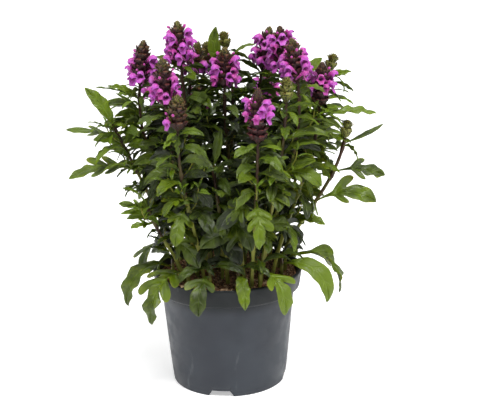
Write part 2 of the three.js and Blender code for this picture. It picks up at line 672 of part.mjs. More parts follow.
stems.forEach(({ name, curve, turn, pairs, solids }, s) => pairs.forEach((pair, p) => {
  for (const side of [0, 1]) {
    const off = strays(s * 19 + p * 4 + side);
    solids.push(...growLeaf(name, `pair${p}`, {
      root: curve.getPoint(pair.at),
      heading: turn + radians(90 * p + 180 * side + off.heading),
      rise: radians(pair.rise + off.rise),
      droop: radians(pair.droop + off.droop),
      length: pair.length * (1 + off.length),
      roll: off.roll,
      kind: pair.kind,
    }, true));
  }
}));

const plant = new THREE.Group();
plant.add(meshOf('pot', pot, potPlastic));
plant.add(meshOf('peat', peatPlug, peat));
[...stems, ...shoots].forEach(({ name, solids }) => {
  plant.add(meshOf(name, wasm.Manifold.union(solids).simplify(WELD), foliage));
});
spikes.forEach(({ name, solid, plan }) => plant.add(meshOf(name, solid, plan.bloom ? blossom : greenBud)));

export default plant;
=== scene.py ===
"""A potted self-heal: slate-grey pot, peat, leafy square stems and spikes of two-lipped florets."""
import math

import bpy
import numpy as np
from mathutils import Matrix, Vector


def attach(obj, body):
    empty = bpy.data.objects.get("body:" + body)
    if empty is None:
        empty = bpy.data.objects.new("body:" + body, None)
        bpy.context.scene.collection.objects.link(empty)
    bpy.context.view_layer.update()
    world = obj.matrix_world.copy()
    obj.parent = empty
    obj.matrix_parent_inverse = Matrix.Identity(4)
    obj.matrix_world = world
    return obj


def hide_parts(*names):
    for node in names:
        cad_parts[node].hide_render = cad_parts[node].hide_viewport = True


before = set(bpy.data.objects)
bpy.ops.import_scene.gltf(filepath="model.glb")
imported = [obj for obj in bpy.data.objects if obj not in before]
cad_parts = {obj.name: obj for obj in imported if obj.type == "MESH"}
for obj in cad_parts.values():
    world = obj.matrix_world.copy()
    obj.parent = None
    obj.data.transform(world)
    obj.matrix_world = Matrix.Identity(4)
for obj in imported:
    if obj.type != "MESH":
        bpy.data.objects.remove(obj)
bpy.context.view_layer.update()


# Pot
# A nursery pot moulded in one piece from slate-grey plastic: a tapering wall, a ledge, and a plain band
# up to the rim. Four notches through the foot of the wall let the water out from under its raised base.
# All sizes are in millimetres up to the studio's, and the scene is in metres.
MM = 0.001
BAND_HEIGHT = 21.5
BAND_FOOT_RADIUS = 82
BAND_LIP = 2
WALL_TOP_RADIUS = 75.8
WALL_FOOT_RADIUS = 67
WALL_FOOT_HEIGHT = 16
BASE_RADIUS = 65
BASE_RISE = 7.5
POT_WALL = 2
POT_FLOOR = 10
HUB_RADIUS = 0.5
FOOT_WIDTH, FOOT_DRAFT = 4, 1
LEDGE_INSET, LIP_BULGE = 1, 0.4
RIM_EDGE = 1.2
POT_CORNER = 0.9
CORNER_STEPS = 4
POT_SIDES = 144
NOTCH_BEARINGS = np.radians(-99 + 90 * np.arange(4))
NOTCH_FOOT_WIDTH, NOTCH_TOP_WIDTH, NOTCH_HEIGHT = 30, 20, 7
NOTCH_DEPTH = 16
# The wall is a mottle of two slates. Between two heights from the ledge it darkens to a painted shade:
# a soft painted shadow on the wall under the ledge, and the band dark all round as though the foliage
# shaded it.
BLUE_SLATE, GREY_SLATE = (0.0265, 0.0305, 0.039), (0.036, 0.042, 0.052)
PAINTED_BAND_SHADE, SCUFF = (0.004, 0.006, 0.007), (0.20, 0.22, 0.23)
SHADE_FROM, SHADE_TO = -14, 3


def places(node):
    """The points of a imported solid, in millimetres, each of them once."""
    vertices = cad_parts[node].data.vertices
    points = np.empty(len(vertices) * 3, np.float32)
    vertices.foreach_get("co", points)
    return np.unique((points.reshape(-1, 3).astype(float) / MM).round(3), axis=0)


def unit(vectors):
    """The vectors at a length of one."""
    return vectors / np.linalg.norm(vectors, axis=-1, keepdims=True)


def even_turns(sides, start=0.0):
    """Even angles round a circle, the first of them a share of a step past zero."""
    return 2 * np.pi * (np.arange(sides) + start) / sides


def round_axis(radius, bearing, height):
    """Points round the upright axis: a radius out along each bearing, at a height."""
    x, y = radius * np.cos(bearing), radius * np.sin(bearing)
    return np.stack(np.broadcast_arrays(x, y, height), axis=-1)


def on_axis(low, high):
    """Two poles on the upright axis."""
    return np.array([[[0, 0, low], [0, 0, high]]], float)


def turned(outline, sides):
    """Rings of a turned body: each [radius, height] of the outline carried once round the upright axis."""
    radius, height = np.array(outline, float).T[..., None]
    return round_axis(radius, even_turns(sides), height)[None]


def round_corners(outline, cut, steps):
    """The outline with each corner but its ends given way to a curve that starts one cut before it and
    ends one cut after it: the two straight runs mixed from one to the other."""
    outline = np.array(outline, float)
    before, corner, after = outline[:-2], outline[1:-1], outline[2:]
    start = (corner + unit(before - corner) * cut)[:, None]
    end = (corner + unit(after - corner) * cut)[:, None]
    t = np.linspace(0, 1, steps)[None, :, None]
    curve = (1 - t) ** 2 * start + 2 * t * (1 - t) * corner[:, None] + t**2 * end
    return np.concatenate([outline[:1], curve.reshape(-1, 2), outline[-1:]])


def tubes(rings, poles, finish=0, **marks):
    """Closed bodies, each a run of rings [body, ring, side, xyz] that a pole closes at either end.
    Faces join each ring to the next, and they are turned over if the volume comes out negative.
    A mark is a value at each ring point, and a pole takes the mean of the ring beside it."""
    bodies, count, sides = rings.shape[:3]
    index = np.arange(count * sides).reshape(count, sides)
    following = np.roll(index, -1, axis=1)
    quads = np.stack([index[:-1], following[:-1], following[1:], index[1:]], axis=-1).reshape(-1, 4)
    first = np.full(sides, count * sides)
    ends = np.concatenate([
        np.stack([following[0], index[0], first], axis=-1),
        np.stack([index[-1], following[-1], first + 1], axis=-1),
    ])
    points = np.concatenate([rings.reshape(bodies, -1, 3), poles], axis=1)
    halves = np.concatenate([quads[:, :3], quads[:, [0, 2, 3]], ends])
    a, b, c = np.moveaxis((points[0] - points[0].mean(axis=0))[halves], 1, 0)
    if (a * np.cross(b, c)).sum() < 0:
        quads, ends = quads[:, ::-1], ends[:, ::-1]
    shift = (np.arange(bodies) * points.shape[1])[:, None, None]
    values = {}
    for name, value in marks.items():
        value = np.broadcast_to(value, rings.shape[:3]).astype(float)
        at_poles = np.stack([value[:, 0].mean(axis=1), value[:, -1].mean(axis=1)], axis=1)
        values[name] = np.concatenate([value.reshape(bodies, -1), at_poles], axis=1).ravel()
    return {
        "points": points.reshape(-1, 3), "quads": (quads + shift).reshape(-1, 4),
        "ends": (ends + shift).reshape(-1, 3), "finish": finish, "marks": values,
    }


def make_piece(name, bodies, finishes, crease=50):
    """One mesh object from several runs of bodies. It shades smooth up to the crease angle in degrees."""
    mesh = bpy.data.meshes.new(name)
    starts = np.cumsum([0] + [len(body["points"]) for body in bodies])
    points = np.concatenate([body["points"] for body in bodies]) * MM
    faces, slots = [], []
    for body, start in zip(bodies, starts):
        faces += (body["quads"] + start).tolist() + (body["ends"] + start).tolist()
        slots += [body["finish"]] * (len(body["quads"]) + len(body["ends"]))
    mesh.from_pydata(points.tolist(), [], faces)
    mesh.polygons.foreach_set("material_index", slots)
    for mark in sorted({mark for body in bodies for mark in body["marks"]}):
        values = [body["marks"].get(mark, np.zeros(len(body["points"]))) for body in bodies]
        mesh.attributes.new(mark, "FLOAT", "POINT").data.foreach_set("value", np.concatenate(values))
    for finish in finishes:
        mesh.materials.append(finish)
    mesh.shade_smooth()
    mesh.set_sharp_from_angle(angle=math.radians(crease))
    made = bpy.data.objects.new(name, mesh)
    bpy.context.scene.collection.objects.link(made)
    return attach(made, "root")


def add_node(tree, kind, inputs=None, **settings):
    """A shader node with its settings. An input takes a value, or a link from another node's output."""
    node = tree.nodes.new("ShaderNode" + kind)
    for name, value in settings.items():
        setattr(node, name, value)
    for name, value in (inputs or {}).items():
        if isinstance(value, bpy.types.NodeSocket):
            tree.links.new(value, node.inputs[name])
        else:
            node.inputs[name].default_value = value
    return node


def new_finish(name, **values):
    """A material with one Principled shader, its plain values set, and its node tree to add to."""
    made = bpy.data.materials.new(name)
    made.use_nodes = True
    shader = made.node_tree.nodes["Principled BSDF"]
    for socket, value in values.items():
        shader.inputs[socket.replace("_", " ")].default_value = value
    return made, made.node_tree, shader


# The mix node's sockets for colours, by number.
MIX_SHARE, MIX_FIRST, MIX_SECOND, MIX_COLOUR = 0, 6, 7, 2


def mixed(tree, share, first, second):
    """A colour between two others, each of them three numbers or a link."""
    inputs = {MIX_SHARE: share}
    for socket, colour in ((MIX_FIRST, first), (MIX_SECOND, second)):
        inputs[socket] = colour if isinstance(colour, bpy.types.NodeSocket) else (*colour, 1)
    return add_node(tree, "Mix", inputs, data_type="RGBA").outputs[MIX_COLOUR]


def spread(tree, value, low, high, to_low=0.0, to_high=1.0):
    """A value eased from one range to another."""
    ranges = {"Value": value, "From Min": low, "From Max": high, "To Min": to_low, "To Max": to_high}
    return add_node(tree, "MapRange", ranges, interpolation_type="SMOOTHSTEP").outputs["Result"]


def maths(tree, operation, first, second=0.0):
    """One sum on two values."""
    return add_node(tree, "Math", {0: first, 1: second}, operation=operation).outputs[0]


def make_mottle():
    """The mottle group: noise on the object's own coordinates, in metres, turned into a mask from 0 to 1
    with a soft edge between its low and high levels."""
    group = bpy.data.node_groups.new("mottle", "ShaderNodeTree")
    for name in ("Scale", "Detail", "Low", "High"):
        group.interface.new_socket(name=name, in_out="INPUT", socket_type="NodeSocketFloat")
    group.interface.new_socket(name="Mask", in_out="OUTPUT", socket_type="NodeSocketFloat")
    given = group.nodes.new("NodeGroupInput").outputs
    place = add_node(group, "TexCoord").outputs["Object"]
    inputs = {"Vector": place, "Scale": given["Scale"], "Detail": given["Detail"]}
    noise = add_node(group, "TexNoise", inputs).outputs["Fac"]
    mask = spread(group, noise, given["Low"], given["High"])
    group.links.new(mask, group.nodes.new("NodeGroupOutput").inputs["Mask"])
    return group


mottle = make_mottle()


def mottled(tree, scale, low=0.35, high=0.65, detail=3.0):
    """The mottle group placed in a material with its own values. The scale counts patches in a metre."""
    values = {"Scale": scale, "Detail": detail, "Low": low, "High": high}
    return add_node(tree, "Group", values, node_tree=mottle).outputs["Mask"]


def coat(tree, shader, colour, relief, strength, distance, roughness=None):
    """Feeds a shader its colour, its relief, and its roughness where that varies. The relief is a height
    in shares of the distance, which is in metres."""
    bump = add_node(tree, "Bump", {"Height": relief, "Strength": strength, "Distance": distance})
    tree.links.new(colour, shader.inputs["Base Color"])
    tree.links.new(bump.outputs["Normal"], shader.inputs["Normal"])
    if roughness:
        tree.links.new(roughness, shader.inputs["Roughness"])


pot_places = places("pot")
POT_HEIGHT = pot_places[:, 2].max()
RIM_RADIUS = np.hypot(pot_places[:, 0], pot_places[:, 1]).max()
LEDGE_HEIGHT = POT_HEIGHT - BAND_HEIGHT

slate_plastic, tree, shader = new_finish("slate_plastic", Specular_IOR_Level=0.25)
place = add_node(tree, "TexCoord").outputs["Object"]
height = add_node(tree, "SeparateXYZ", {"Vector": place}).outputs["Z"]
# Painted shade: the wall darkens under the ledge, and the band is dark all round, as though shaded by the
# foliage.
painted_band_shade = spread(tree, height, (LEDGE_HEIGHT + SHADE_FROM) * MM, (LEDGE_HEIGHT + SHADE_TO) * MM)
upright = add_node(tree, "Mapping", {"Vector": place, "Scale": (1, 1, 0.3)}).outputs["Vector"]
rubs = add_node(tree, "TexNoise", {"Vector": upright, "Scale": 55, "Detail": 8}).outputs["Fac"]
slate = mixed(tree, painted_band_shade, mixed(tree, mottled(tree, 14), BLUE_SLATE, GREY_SLATE), PAINTED_BAND_SHADE)
slate = mixed(tree, spread(tree, rubs, 0.64, 0.8, 0, 0.5), slate, SCUFF)
worn = spread(tree, mottled(tree, 60), 0, 1, 0.38, 0.52)
coat(tree, shader, slate, mottled(tree, 900, 0.2, 0.8), 0.25, 0.0001, worn)

pot_outline = round_corners([
    (HUB_RADIUS, BASE_RISE),
    (BASE_RADIUS - FOOT_WIDTH, BASE_RISE),
    (BASE_RADIUS - FOOT_WIDTH + FOOT_DRAFT, 0),
    (BASE_RADIUS, 0),
    (WALL_FOOT_RADIUS, WALL_FOOT_HEIGHT),
    (WALL_TOP_RADIUS, LEDGE_HEIGHT - RIM_EDGE),
    (BAND_FOOT_RADIUS - LEDGE_INSET, LEDGE_HEIGHT),
    (BAND_FOOT_RADIUS + LIP_BULGE, LEDGE_HEIGHT + BAND_LIP),
    (RIM_RADIUS, POT_HEIGHT - RIM_EDGE),
    (RIM_RADIUS - RIM_EDGE, POT_HEIGHT),
    (RIM_RADIUS - RIM_EDGE - POT_WALL, POT_HEIGHT),
    (WALL_TOP_RADIUS - POT_WALL, LEDGE_HEIGHT),
    (BASE_RADIUS - POT_WALL, POT_FLOOR),
    (HUB_RADIUS, POT_FLOOR),
], POT_CORNER, CORNER_STEPS)
pot_shell = tubes(turned(pot_outline, POT_SIDES), on_axis(BASE_RISE, POT_FLOOR))
pot = make_piece("pot_shell", [pot_shell], [slate_plastic], crease=32)

# A notch is a block with a narrower top, cut through the foot of the wall.
across = np.array([-NOTCH_FOOT_WIDTH, NOTCH_FOOT_WIDTH, NOTCH_TOP_WIDTH, -NOTCH_TOP_WIDTH]) / 2
upward = np.array([-1, -1, NOTCH_HEIGHT, NOTCH_HEIGHT])
outward = (BASE_RADIUS + NOTCH_DEPTH * np.array([-0.5, 0.5]))[:, None]
bearing = NOTCH_BEARINGS[:, None, None]
blocks = round_axis(outward, bearing, upward) + round_axis(across, bearing + np.pi / 2, 0)
notches = make_piece("pot_notches", [tubes(blocks, blocks.mean(axis=2))], [slate_plastic])
cut = pot.modifiers.new("notches", "BOOLEAN")
cut.operation, cut.object, cut.solver = "DIFFERENCE", notches, "EXACT"
cleared = bpy.data.meshes.new_from_object(pot.evaluated_get(bpy.context.evaluated_depsgraph_get()))
pot.modifiers.clear()
pot.data = cleared
bpy.data.objects.remove(notches)
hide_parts("pot")


# Peat
# Loose moist peat fills the pot to just below the rim. Its crumbs and tan fibres lie on an uneven
# surface, and a few of them are spilt on the rim.
PEAT_LEVEL = 126
PEAT_RADIUS = 78
PEAT_GAP = 1
PEAT_LIFT = 0.3
PEAT_DIP = 1.6
PEAT_RINGS, PEAT_SIDES = 46, 150
PEAT_WAVES = np.geomspace(4, 34, 22)
CRUMBS, CRUMB_SIZES, CRUMB_STRETCH = 3600, (0.5, 1.7), (0.5, 1.5)
CRUMB_REACH = 0.985
SPILT_CRUMBS, SPILT_BEARING, SPILT_SPREAD, SPILT_LIFT = 26, -127, 5, 0.4
DARK_PEAT, BROWN_PEAT, TAN_FIBRE = (0.07, 0.034, 0.019), (0.40, 0.22, 0.12), (0.78, 0.58, 0.36)
# All the random draws below are made from here, in their order.
draw = np.random.default_rng(7)
swell = [(length, draw.uniform(0, 2 * np.pi, 2)) for length in PEAT_WAVES]


def peat_height(x, y):
    """The height of the peat: waves of many lengths and bearings added up, each a fortieth as high as it
    is long, and a dip towards the wall."""
    height = PEAT_LEVEL - PEAT_DIP * (np.hypot(x, y) / PEAT_RADIUS) ** 6
    for length, (bearing, phase) in swell:
        ahead = x * np.cos(bearing) + y * np.sin(bearing)
        height = height + length / 40 * np.sin(2 * np.pi * ahead / length + phase)
    return height


def random_turns(count):
    """Turning matrices drawn evenly: each is made from a random quaternion of length one."""
    w, x, y, z = unit(draw.normal(size=(count, 4))).T
    return np.array([
        [1 - 2 * (y * y + z * z), 2 * (x * y - z * w), 2 * (x * z + y * w)],
        [2 * (x * y + z * w), 1 - 2 * (x * x + z * z), 2 * (y * z - x * w)],
        [2 * (x * z - y * w), 2 * (y * z + x * w), 1 - 2 * (x * x + y * y)],
    ]).transpose(2, 0, 1)


def read_marks(tree, *names):
    """The marks that a mesh holds at its points, as values for a material."""
    return [add_node(tree, "Attribute", attribute_name=name).outputs["Fac"] for name in names]


peat_finish, tree, shader = new_finish("peat", Roughness=0.95, Specular_IOR_Level=0.2)
[tone] = read_marks(tree, "tone")
grain = mixed(tree, mottled(tree, 420, 0.35, 0.6, 6), DARK_PEAT, BROWN_PEAT)
flecked = mixed(tree, spread(tree, tone, 0.6, 0.9), grain, TAN_FIBRE)
coat(tree, shader, flecked, mottled(tree, 700, 0.25, 0.75, 6), 1.0, 0.0012)

crown = round_axis(np.linspace(0.02, 1, PEAT_RINGS)[:, None] * PEAT_RADIUS, even_turns(PEAT_SIDES), 0.0)
crown[..., 2] = peat_height(crown[..., 0], crown[..., 1])
plug = turned([
    (WALL_TOP_RADIUS - POT_WALL - PEAT_GAP, LEDGE_HEIGHT),
    (BASE_RADIUS - POT_WALL - PEAT_GAP, POT_FLOOR + PEAT_LIFT),
], PEAT_SIDES)
middle = on_axis(peat_height(0, 0), POT_FLOOR + PEAT_LIFT)
peat_bodies = [tubes(np.concatenate([crown[None], plug], axis=1), middle, tone=0.3)]

size = draw.uniform(*CRUMB_SIZES, (CRUMBS, 1, 1)) * draw.uniform(*CRUMB_STRETCH, (CRUMBS, 1, 3))
away = PEAT_RADIUS * CRUMB_REACH * np.sqrt(draw.random(CRUMBS))
spot = round_axis(away, draw.uniform(0, 2 * np.pi, CRUMBS), 0.0)
spot[:, 2] = peat_height(spot[:, 0], spot[:, 1]) + PEAT_LIFT
spilt = np.radians(draw.normal(SPILT_BEARING, SPILT_SPREAD, SPILT_CRUMBS))
on_rim = RIM_RADIUS - RIM_EDGE - draw.uniform(0, POT_WALL, SPILT_CRUMBS)
spot[:SPILT_CRUMBS] = round_axis(on_rim, spilt, POT_HEIGHT + SPILT_LIFT)
tips = np.array([(1, 0, 0), (0, 1, 0), (-1, 0, 0), (0, -1, 0), (0, 0, -1), (0, 0, 1)])
crumbs = spot[:, None] + np.einsum("nij,nkj->nki", random_turns(CRUMBS), tips * size)
peat_bodies.append(tubes(crumbs[:, None, :4], crumbs[:, 4:], tone=draw.random((CRUMBS, 1, 1))))
peat = make_piece("peat_crumbs", peat_bodies, [peat_finish])
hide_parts("peat")


# Stems
# Each stem is square, as on every plant of the mint family, and thins towards its top. It is green at
# the foot and flushes purple-brown in the light above. It swells a little where its leaves join it.
STEM_WIDTH, STEM_TOP_WIDTH = 3.8, 2.8
# A stem's curve runs on at either end for a share of its length, and its foot has a share of its lean. A
# leafy stem's top leans as much as one that reaches its tip over this rise.
STEM_REACH, STEM_LEAN, LEAFY_RISE = 0.36, 0.75, 150
# How deep a stem's foot stands in the peat and how far it rises straight above it, and the gap between
# a stem's top and its spike.
FOOT_DEPTH, FOOT_RISE, FIT_GAP = 20, 4, 0.35
STEM_RINGS, STEM_SIDES = 30, 12
SQUARENESS = 5
JOINT_SWELL, JOINT_LENGTH = 0.35, 0.012
STEM_GREEN, STEM_PURPLE = (0.20, 0.21, 0.032), (0.045, 0.021, 0.012)
UP = np.array([0.0, 0.0, 1.0])

# The way that each flowering stem faces, in degrees, and its spike's rows of calyces, with the first and
# last row in bloom. A spike without bloom is a green bud.
FLOWERING = {
    "01": (20, 7, (1, 4)), "02": (75, 7, (1, 5)), "03": (-30, 7, (1, 4)), "04": (8, 5, (1, 1)),
    "05": (50, 5, (1, 2)), "06": (15, 5, (1, 2)), "07": (-20, 6, (1, 4)), "08": (40, 7, (1, 5)),
    "09": (70, 7, (1, 5)), "10": (10, 7, (1, 4)), "11": (60, 7, (3, 5)), "12": (5, 8, (4, 6)),
    "13": (35, 6, (1, 3)), "14": (80, 6, (2, 4)), "15": (55, 6, (1, 3)), "16": (5, 6, (2, 4)),
    "17": (30, 3, None), "18": (65, 2, None), "19": (0, 2, None), "20": (35, 2, None),
}
# Leafy stems end in a growing tip: where it is, and the way the stem faces.
LEAFY = {"01": ((-122, -6, 300), 90), "02": ((-84, -50, 216), 20), "03": ((-13, -54, 262), 60)}
# Young shoots stand round the rim: bearing, the length and shape of the leaf that arches over it, and how
# far that leaf turns its upper side towards the front, in degrees.
RIM_SHOOTS = {
    "01": (-158, 84, "broad", 10), "02": (-131, 92, "cut", 25), "03": (-107, 66, "fingered", 0),
    "04": (-80, 56, "broad", 0), "05": (-58, 74, "fingered", 0), "06": (-24, 84, "broad", 40),
    "07": (-2, 96, "fingered", 0), "08": (48, 80, "cut", 0), "09": (84, 84, "fingered", 0),
    "10": (146, 88, "cut", 0),
}
SHOOT_HEIGHT = 24


def spike_axis(node):
    """A spike's foot, the middle of its ten lowest points, and its tip, the point furthest from there."""
    points = places(node)
    foot = points[np.argsort(points[:, 2])[:10]].mean(axis=0)
    return foot, points[np.linalg.norm(points - foot, axis=1).argmax()]


def stem_foot(node):
    """The middle of a stem's foot: of its points that lie at the foot's depth in the peat."""
    points = places(node)
    low = points[np.abs(points[:, 2] - (PEAT_LEVEL - FOOT_DEPTH)) < 0.01]
    return low.mean(axis=0) + UP * (FOOT_DEPTH + FOOT_RISE)


def stem_line(start, top, along):
    """The four points of the curve that a stem follows: it leaves its foot with a share of the lean of
    the straight line to its top, and it arrives along the way of its top."""
    reach = np.linalg.norm(top - start) * STEM_REACH
    lean = unit(top - start)
    leave = unit(np.array([lean[0] * STEM_LEAN, lean[1] * STEM_LEAN, 1]))
    return np.array([start, start + leave * reach, top - along * reach, top])


def on_line(line, t):
    """Points along a stem's curve at shares t of it: its four points weighed by t and 1 - t."""
    t = np.asarray(t, float)[..., None]
    a, b, c, d = line
    return (1 - t) ** 3 * a + 3 * (1 - t) ** 2 * t * b + 3 * (1 - t) * t**2 * c + t**3 * d


def line_way(line, t):
    """The way along a stem's curve at shares t of it."""
    t = np.asarray(t, float)[..., None]
    a, b, c, d = line
    return unit((1 - t) ** 2 * (b - a) + 2 * (1 - t) * t * (c - b) + t**2 * (d - c))


def stalk(line, turn, joints):
    """A square stem: rings of points along its line, with a straight foot in the peat. A ring's radius is
    the width over the root of |cos|^n + |sin|^n, which makes a square with round corners, and it swells
    round each joint by a bell curve."""
    t = np.linspace(0, 1, STEM_RINGS)
    centre = on_line(line, t)
    way = np.concatenate([UP[None], line_way(line, t)])
    centre = np.concatenate([centre[:1] - UP * (FOOT_DEPTH + FOOT_RISE), centre])
    t = np.append(0, t)
    across = unit(np.cross(way, (math.cos(turn), math.sin(turn), 0)))
    side = np.cross(across, way)
    angle = even_turns(STEM_SIDES, 0.5)
    cosine, sine = np.cos(angle), np.sin(angle)
    square = (np.abs(cosine) ** SQUARENESS + np.abs(sine) ** SQUARENESS) ** (-1 / SQUARENESS)
    swell = JOINT_SWELL * np.exp(-(((t[:, None] - np.array(joints)) / JOINT_LENGTH) ** 2)).sum(axis=1)
    width = (STEM_WIDTH + (STEM_TOP_WIDTH - STEM_WIDTH) * t) * (1 + swell)
    radius = (width / 2)[:, None] * square
    rings = centre[:, None] + (radius * cosine)[..., None] * side[:, None]
    rings = rings + (radius * sine)[..., None] * across[:, None]
    return tubes(rings[None], centre[[0, -1]][None], finish=1, height=t[None, :, None])


stem_finish, tree, shader = new_finish(
    "stem", Roughness=0.5, Specular_IOR_Level=0.25, Subsurface_Weight=0.08, Subsurface_Scale=0.002)
[height] = read_marks(tree, "height")
patchy = maths(tree, "ADD", height, maths(tree, "MULTIPLY", mottled(tree, 70, 0.3, 0.7), 0.3))
flushed = mixed(tree, spread(tree, patchy, 0.5, 0.95), STEM_GREEN, STEM_PURPLE)
coat(tree, shader, flushed, mottled(tree, 1500, 0.2, 0.8), 0.4, 0.0002)


# Leaves
# The leaves grow in opposite pairs. Most of the lower ones have one or two pairs of finger lobes, and the
# upper ones are plain. Each has a sunken midrib, curved side veins and a paler underside.

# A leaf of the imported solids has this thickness. It may stand swung or lifted by some degrees from its
# plan, or shorter. It is known by its tip, within the match.
SOLID_THICKNESS = 0.9
SWINGS = [0, 13, -13, 26, -26, 40, -40, 55, -55]
LIFTS = [0, 12, -12, 26, -26, 40]
SHRINKS = [1, 0.8, 0.62]
MATCH = 0.2

# Half a leaf's outline from stalk to tip, in shares of its length: the number of the side vein that meets
# it, where that vein leaves the midrib, and the point's place along and across the leaf.
LEAF_SHAPES = {
    "narrow": [
        (0, 0, 0, .014), (.3, .1, .12, .02), (.7, .19, .24, .05), (1, .27, .36, .084),
        (1.5, .38, .48, .104), (2, .48, .6, .11), (2.5, .58, .71, .1), (3, .7, .82, .076),
        (3.4, .82, .91, .046), (3.6, .92, .97, .022),
    ],
    "broad": [
        (0, 0, 0, .016), (.3, .1, .11, .024), (.6, .17, .2, .056), (1, .25, .32, .098),
        (1.5, .36, .46, .124), (2, .47, .59, .132), (2.5, .58, .71, .12), (3, .7, .82, .094),
        (3.4, .82, .91, .058), (3.6, .92, .97, .028),
    ],
    "fingered": [
        (0, 0, 0, .016), (.2, .12, .14, .022), (.35, .22, .27, .032), (.5, .27, .34, .06),
        (.65, .3, .38, .12), (.78, .32, .42, .175), (.9, .335, .48, .222), (1, .35, .55, .235),
        (1.1, .36, .59, .21), (1.2, .37, .575, .17), (1.32, .38, .54, .13), (1.45, .4, .505, .098),
        (1.6, .44, .51, .084), (1.8, .49, .56, .1), (2.1, .55, .64, .126), (2.5, .63, .74, .137),
        (3, .73, .84, .12), (3.4, .83, .92, .078), (3.6, .93, .975, .034),
    ],
    "cut": [
        (0, 0, 0, .014), (.2, .12, .14, .02), (.35, .18, .22, .03), (.5, .2, .27, .06),
        (.65, .225, .31, .115), (.8, .24, .345, .165), (.95, .25, .41, .21), (1.05, .26, .47, .205),
        (1.2, .27, .47, .16), (1.35, .29, .43, .11), (1.5, .32, .4, .066), (1.6, .36, .43, .06),
        (1.7, .38, .47, .1), (1.8, .4, .505, .16), (1.9, .41, .57, .21), (2, .42, .64, .225),
        (2.1, .43, .68, .195), (2.2, .44, .665, .145), (2.35, .46, .61, .1), (2.5, .5, .575, .072),
        (2.8, .57, .65, .09), (3.2, .65, .73, .108), (3.7, .76, .83, .1), (4.1, .86, .91, .068),
        (4.4, .94, .97, .032),
    ],
}
# Cells across a small blade and a large one, and lines along a young one. Other small blades have a line
# for each point of their shape, and large ones have one more between each two points.
SMALL_CELLS, LARGE_CELLS, YOUNG_LINES = 4, 6, 9
LINE_SWEEP = 1.15
LEAF_FOLD = 0.17
TOOTH = 0.06
# How far a leaf's two sides may differ, along it and across.
UNEVEN_ALONG, UNEVEN_ACROSS = 0.03, 0.2
# How high the blade swells between its veins and waves at its margin, in shares of its length.
VEIN_SWELL, MARGIN_WAVE = 0.02, 0.05
# The blade's thickness, and how far its midrib stands out below it and sinks in above it.
BLADE, RIB_BELOW, RIB_SUNK = 0.5, 0.35, 0.2

# How far out the plant's leaves reach at given heights. Those well inside it take a painted shade in their
# colour, and those at its top a painted light wherever they stand. A leaf's place is judged at a share of
# its length.
PLANT_REACH = (120, 200, 260, 380), (112, 112, 118, 116)
SHADED_REACH, LIT_REACH = 0.55, 1.0
LIT_HEIGHTS = (290, 380), (0, 0.8)
LIT_AT = 0.7
# How far a leaf turns its face to the light, from its root to the end of its stalk: fully outside the inner
# radius, and less within it.
LIGHT_TURN, LIGHT_STRAY, STALK_SHARE, INNER_RADIUS = 0.9, 0.6, 0.3, 50
# How young the leaves near a stem's top look, and the share of the stem where that starts.
TOP_YOUTH, TOP_FROM = 0.1, 0.9
BETWEEN_YOUTH, BETWEEN_FROM = 0.25, 0.8

# The plant is a vase in outline. How far out its small leaves may reach grows from the foot's radius at
# the low height, by the spread at the high one, as a power of the height between them.
OUTLINE_FOOT, OUTLINE_SPREAD, OUTLINE_POWER = 80, 70, 1.6
OUTLINE_LOW, OUTLINE_HIGH = 130, 260

# Leaves that the front shows plainly: stem, share of it, tip, bend in degrees, shape, and how far the
# leaf turns its upper side towards the front, in degrees.
MARKED_LEAVES = [
    ("leafy_stem_01", .93, (-174, -6, 295), 12, "fingered", 8),
    ("leafy_stem_01", .97, (-151, -4, 341), 25, "broad", 60),
    ("leafy_stem_01", .88, (-142, -16, 265), 30, "narrow", 50),
    ("leafy_stem_01", .7, (-172, -20, 243), 50, "cut", 18),
    ("leafy_stem_02", .96, (-116, -46, 221), 20, "fingered", 35),
    ("leafy_stem_02", .8, (-103, -60, 197), 40, "fingered", 35),
    ("leafy_stem_03", .98, (-4, -50, 302), -10, "narrow", 65),
    ("leafy_stem_03", .96, (-34, -66, 252), 40, "narrow", 35),
    ("leafy_stem_03", .94, (8, -68, 268), 40, "narrow", 35),
    ("stem_01", .95, (-128, 8, 340), 30, "narrow", 50),
    ("stem_04", .52, (-54, -96, 186), 80, "fingered", 35),
    ("stem_04", .56, (-80, -74, 215), 45, "narrow", 35),
    ("stem_04", .6, (-22, -66, 240), 40, "narrow", 35),
    ("stem_07", .5, (-8, -70, 226), 30, "narrow", 35),
    ("stem_12", .62, (33, -106, 184), 80, "cut", 35),
    ("stem_12", .94, (14, -92, 278), 30, "narrow", 35),
    ("stem_12", .95, (62, -92, 268), 50, "narrow", 35),
    ("stem_17", .6, (96, -64, 268), 30, "broad", 35),
    ("stem_11", .93, (169, 0, 305), 40, "narrow", 10),
    ("stem_11", .7, (78, -36, 262), 40, "broad", 60),
    ("stem_11", .32, (108, -40, 190), 50, "broad", 35),
    ("stem_20", .5, (169, -4, 205), 75, "fingered", 35),
    ("stem_20", .76, (181, 12, 232), 35, "fingered", 35),
    ("stem_20", .96, (179, 18, 290), -15, "narrow", 8),
    ("stem_18", .95, (143, 24, 349), 50, "narrow", 60),
    ("stem_19", .9, (-7, 30, 401), -70, "broad", 75),
    ("stem_19", .93, (36, 22, 381), 80, "narrow", 35),
]
MARKED_ROLL = 0.3

# Pairs up a stem: share of the stem, shape, length, and slopes at root and tip in degrees.
PAIRS = [
    (.25, "fingered", 62, 40, -75), (.48, "fingered", 58, 40, -65),
    (.72, "narrow", 52, 35, -60), (.94, "narrow", 38, 25, -60),
]
TUFT = (.99, "narrow", 40, 65, 20)
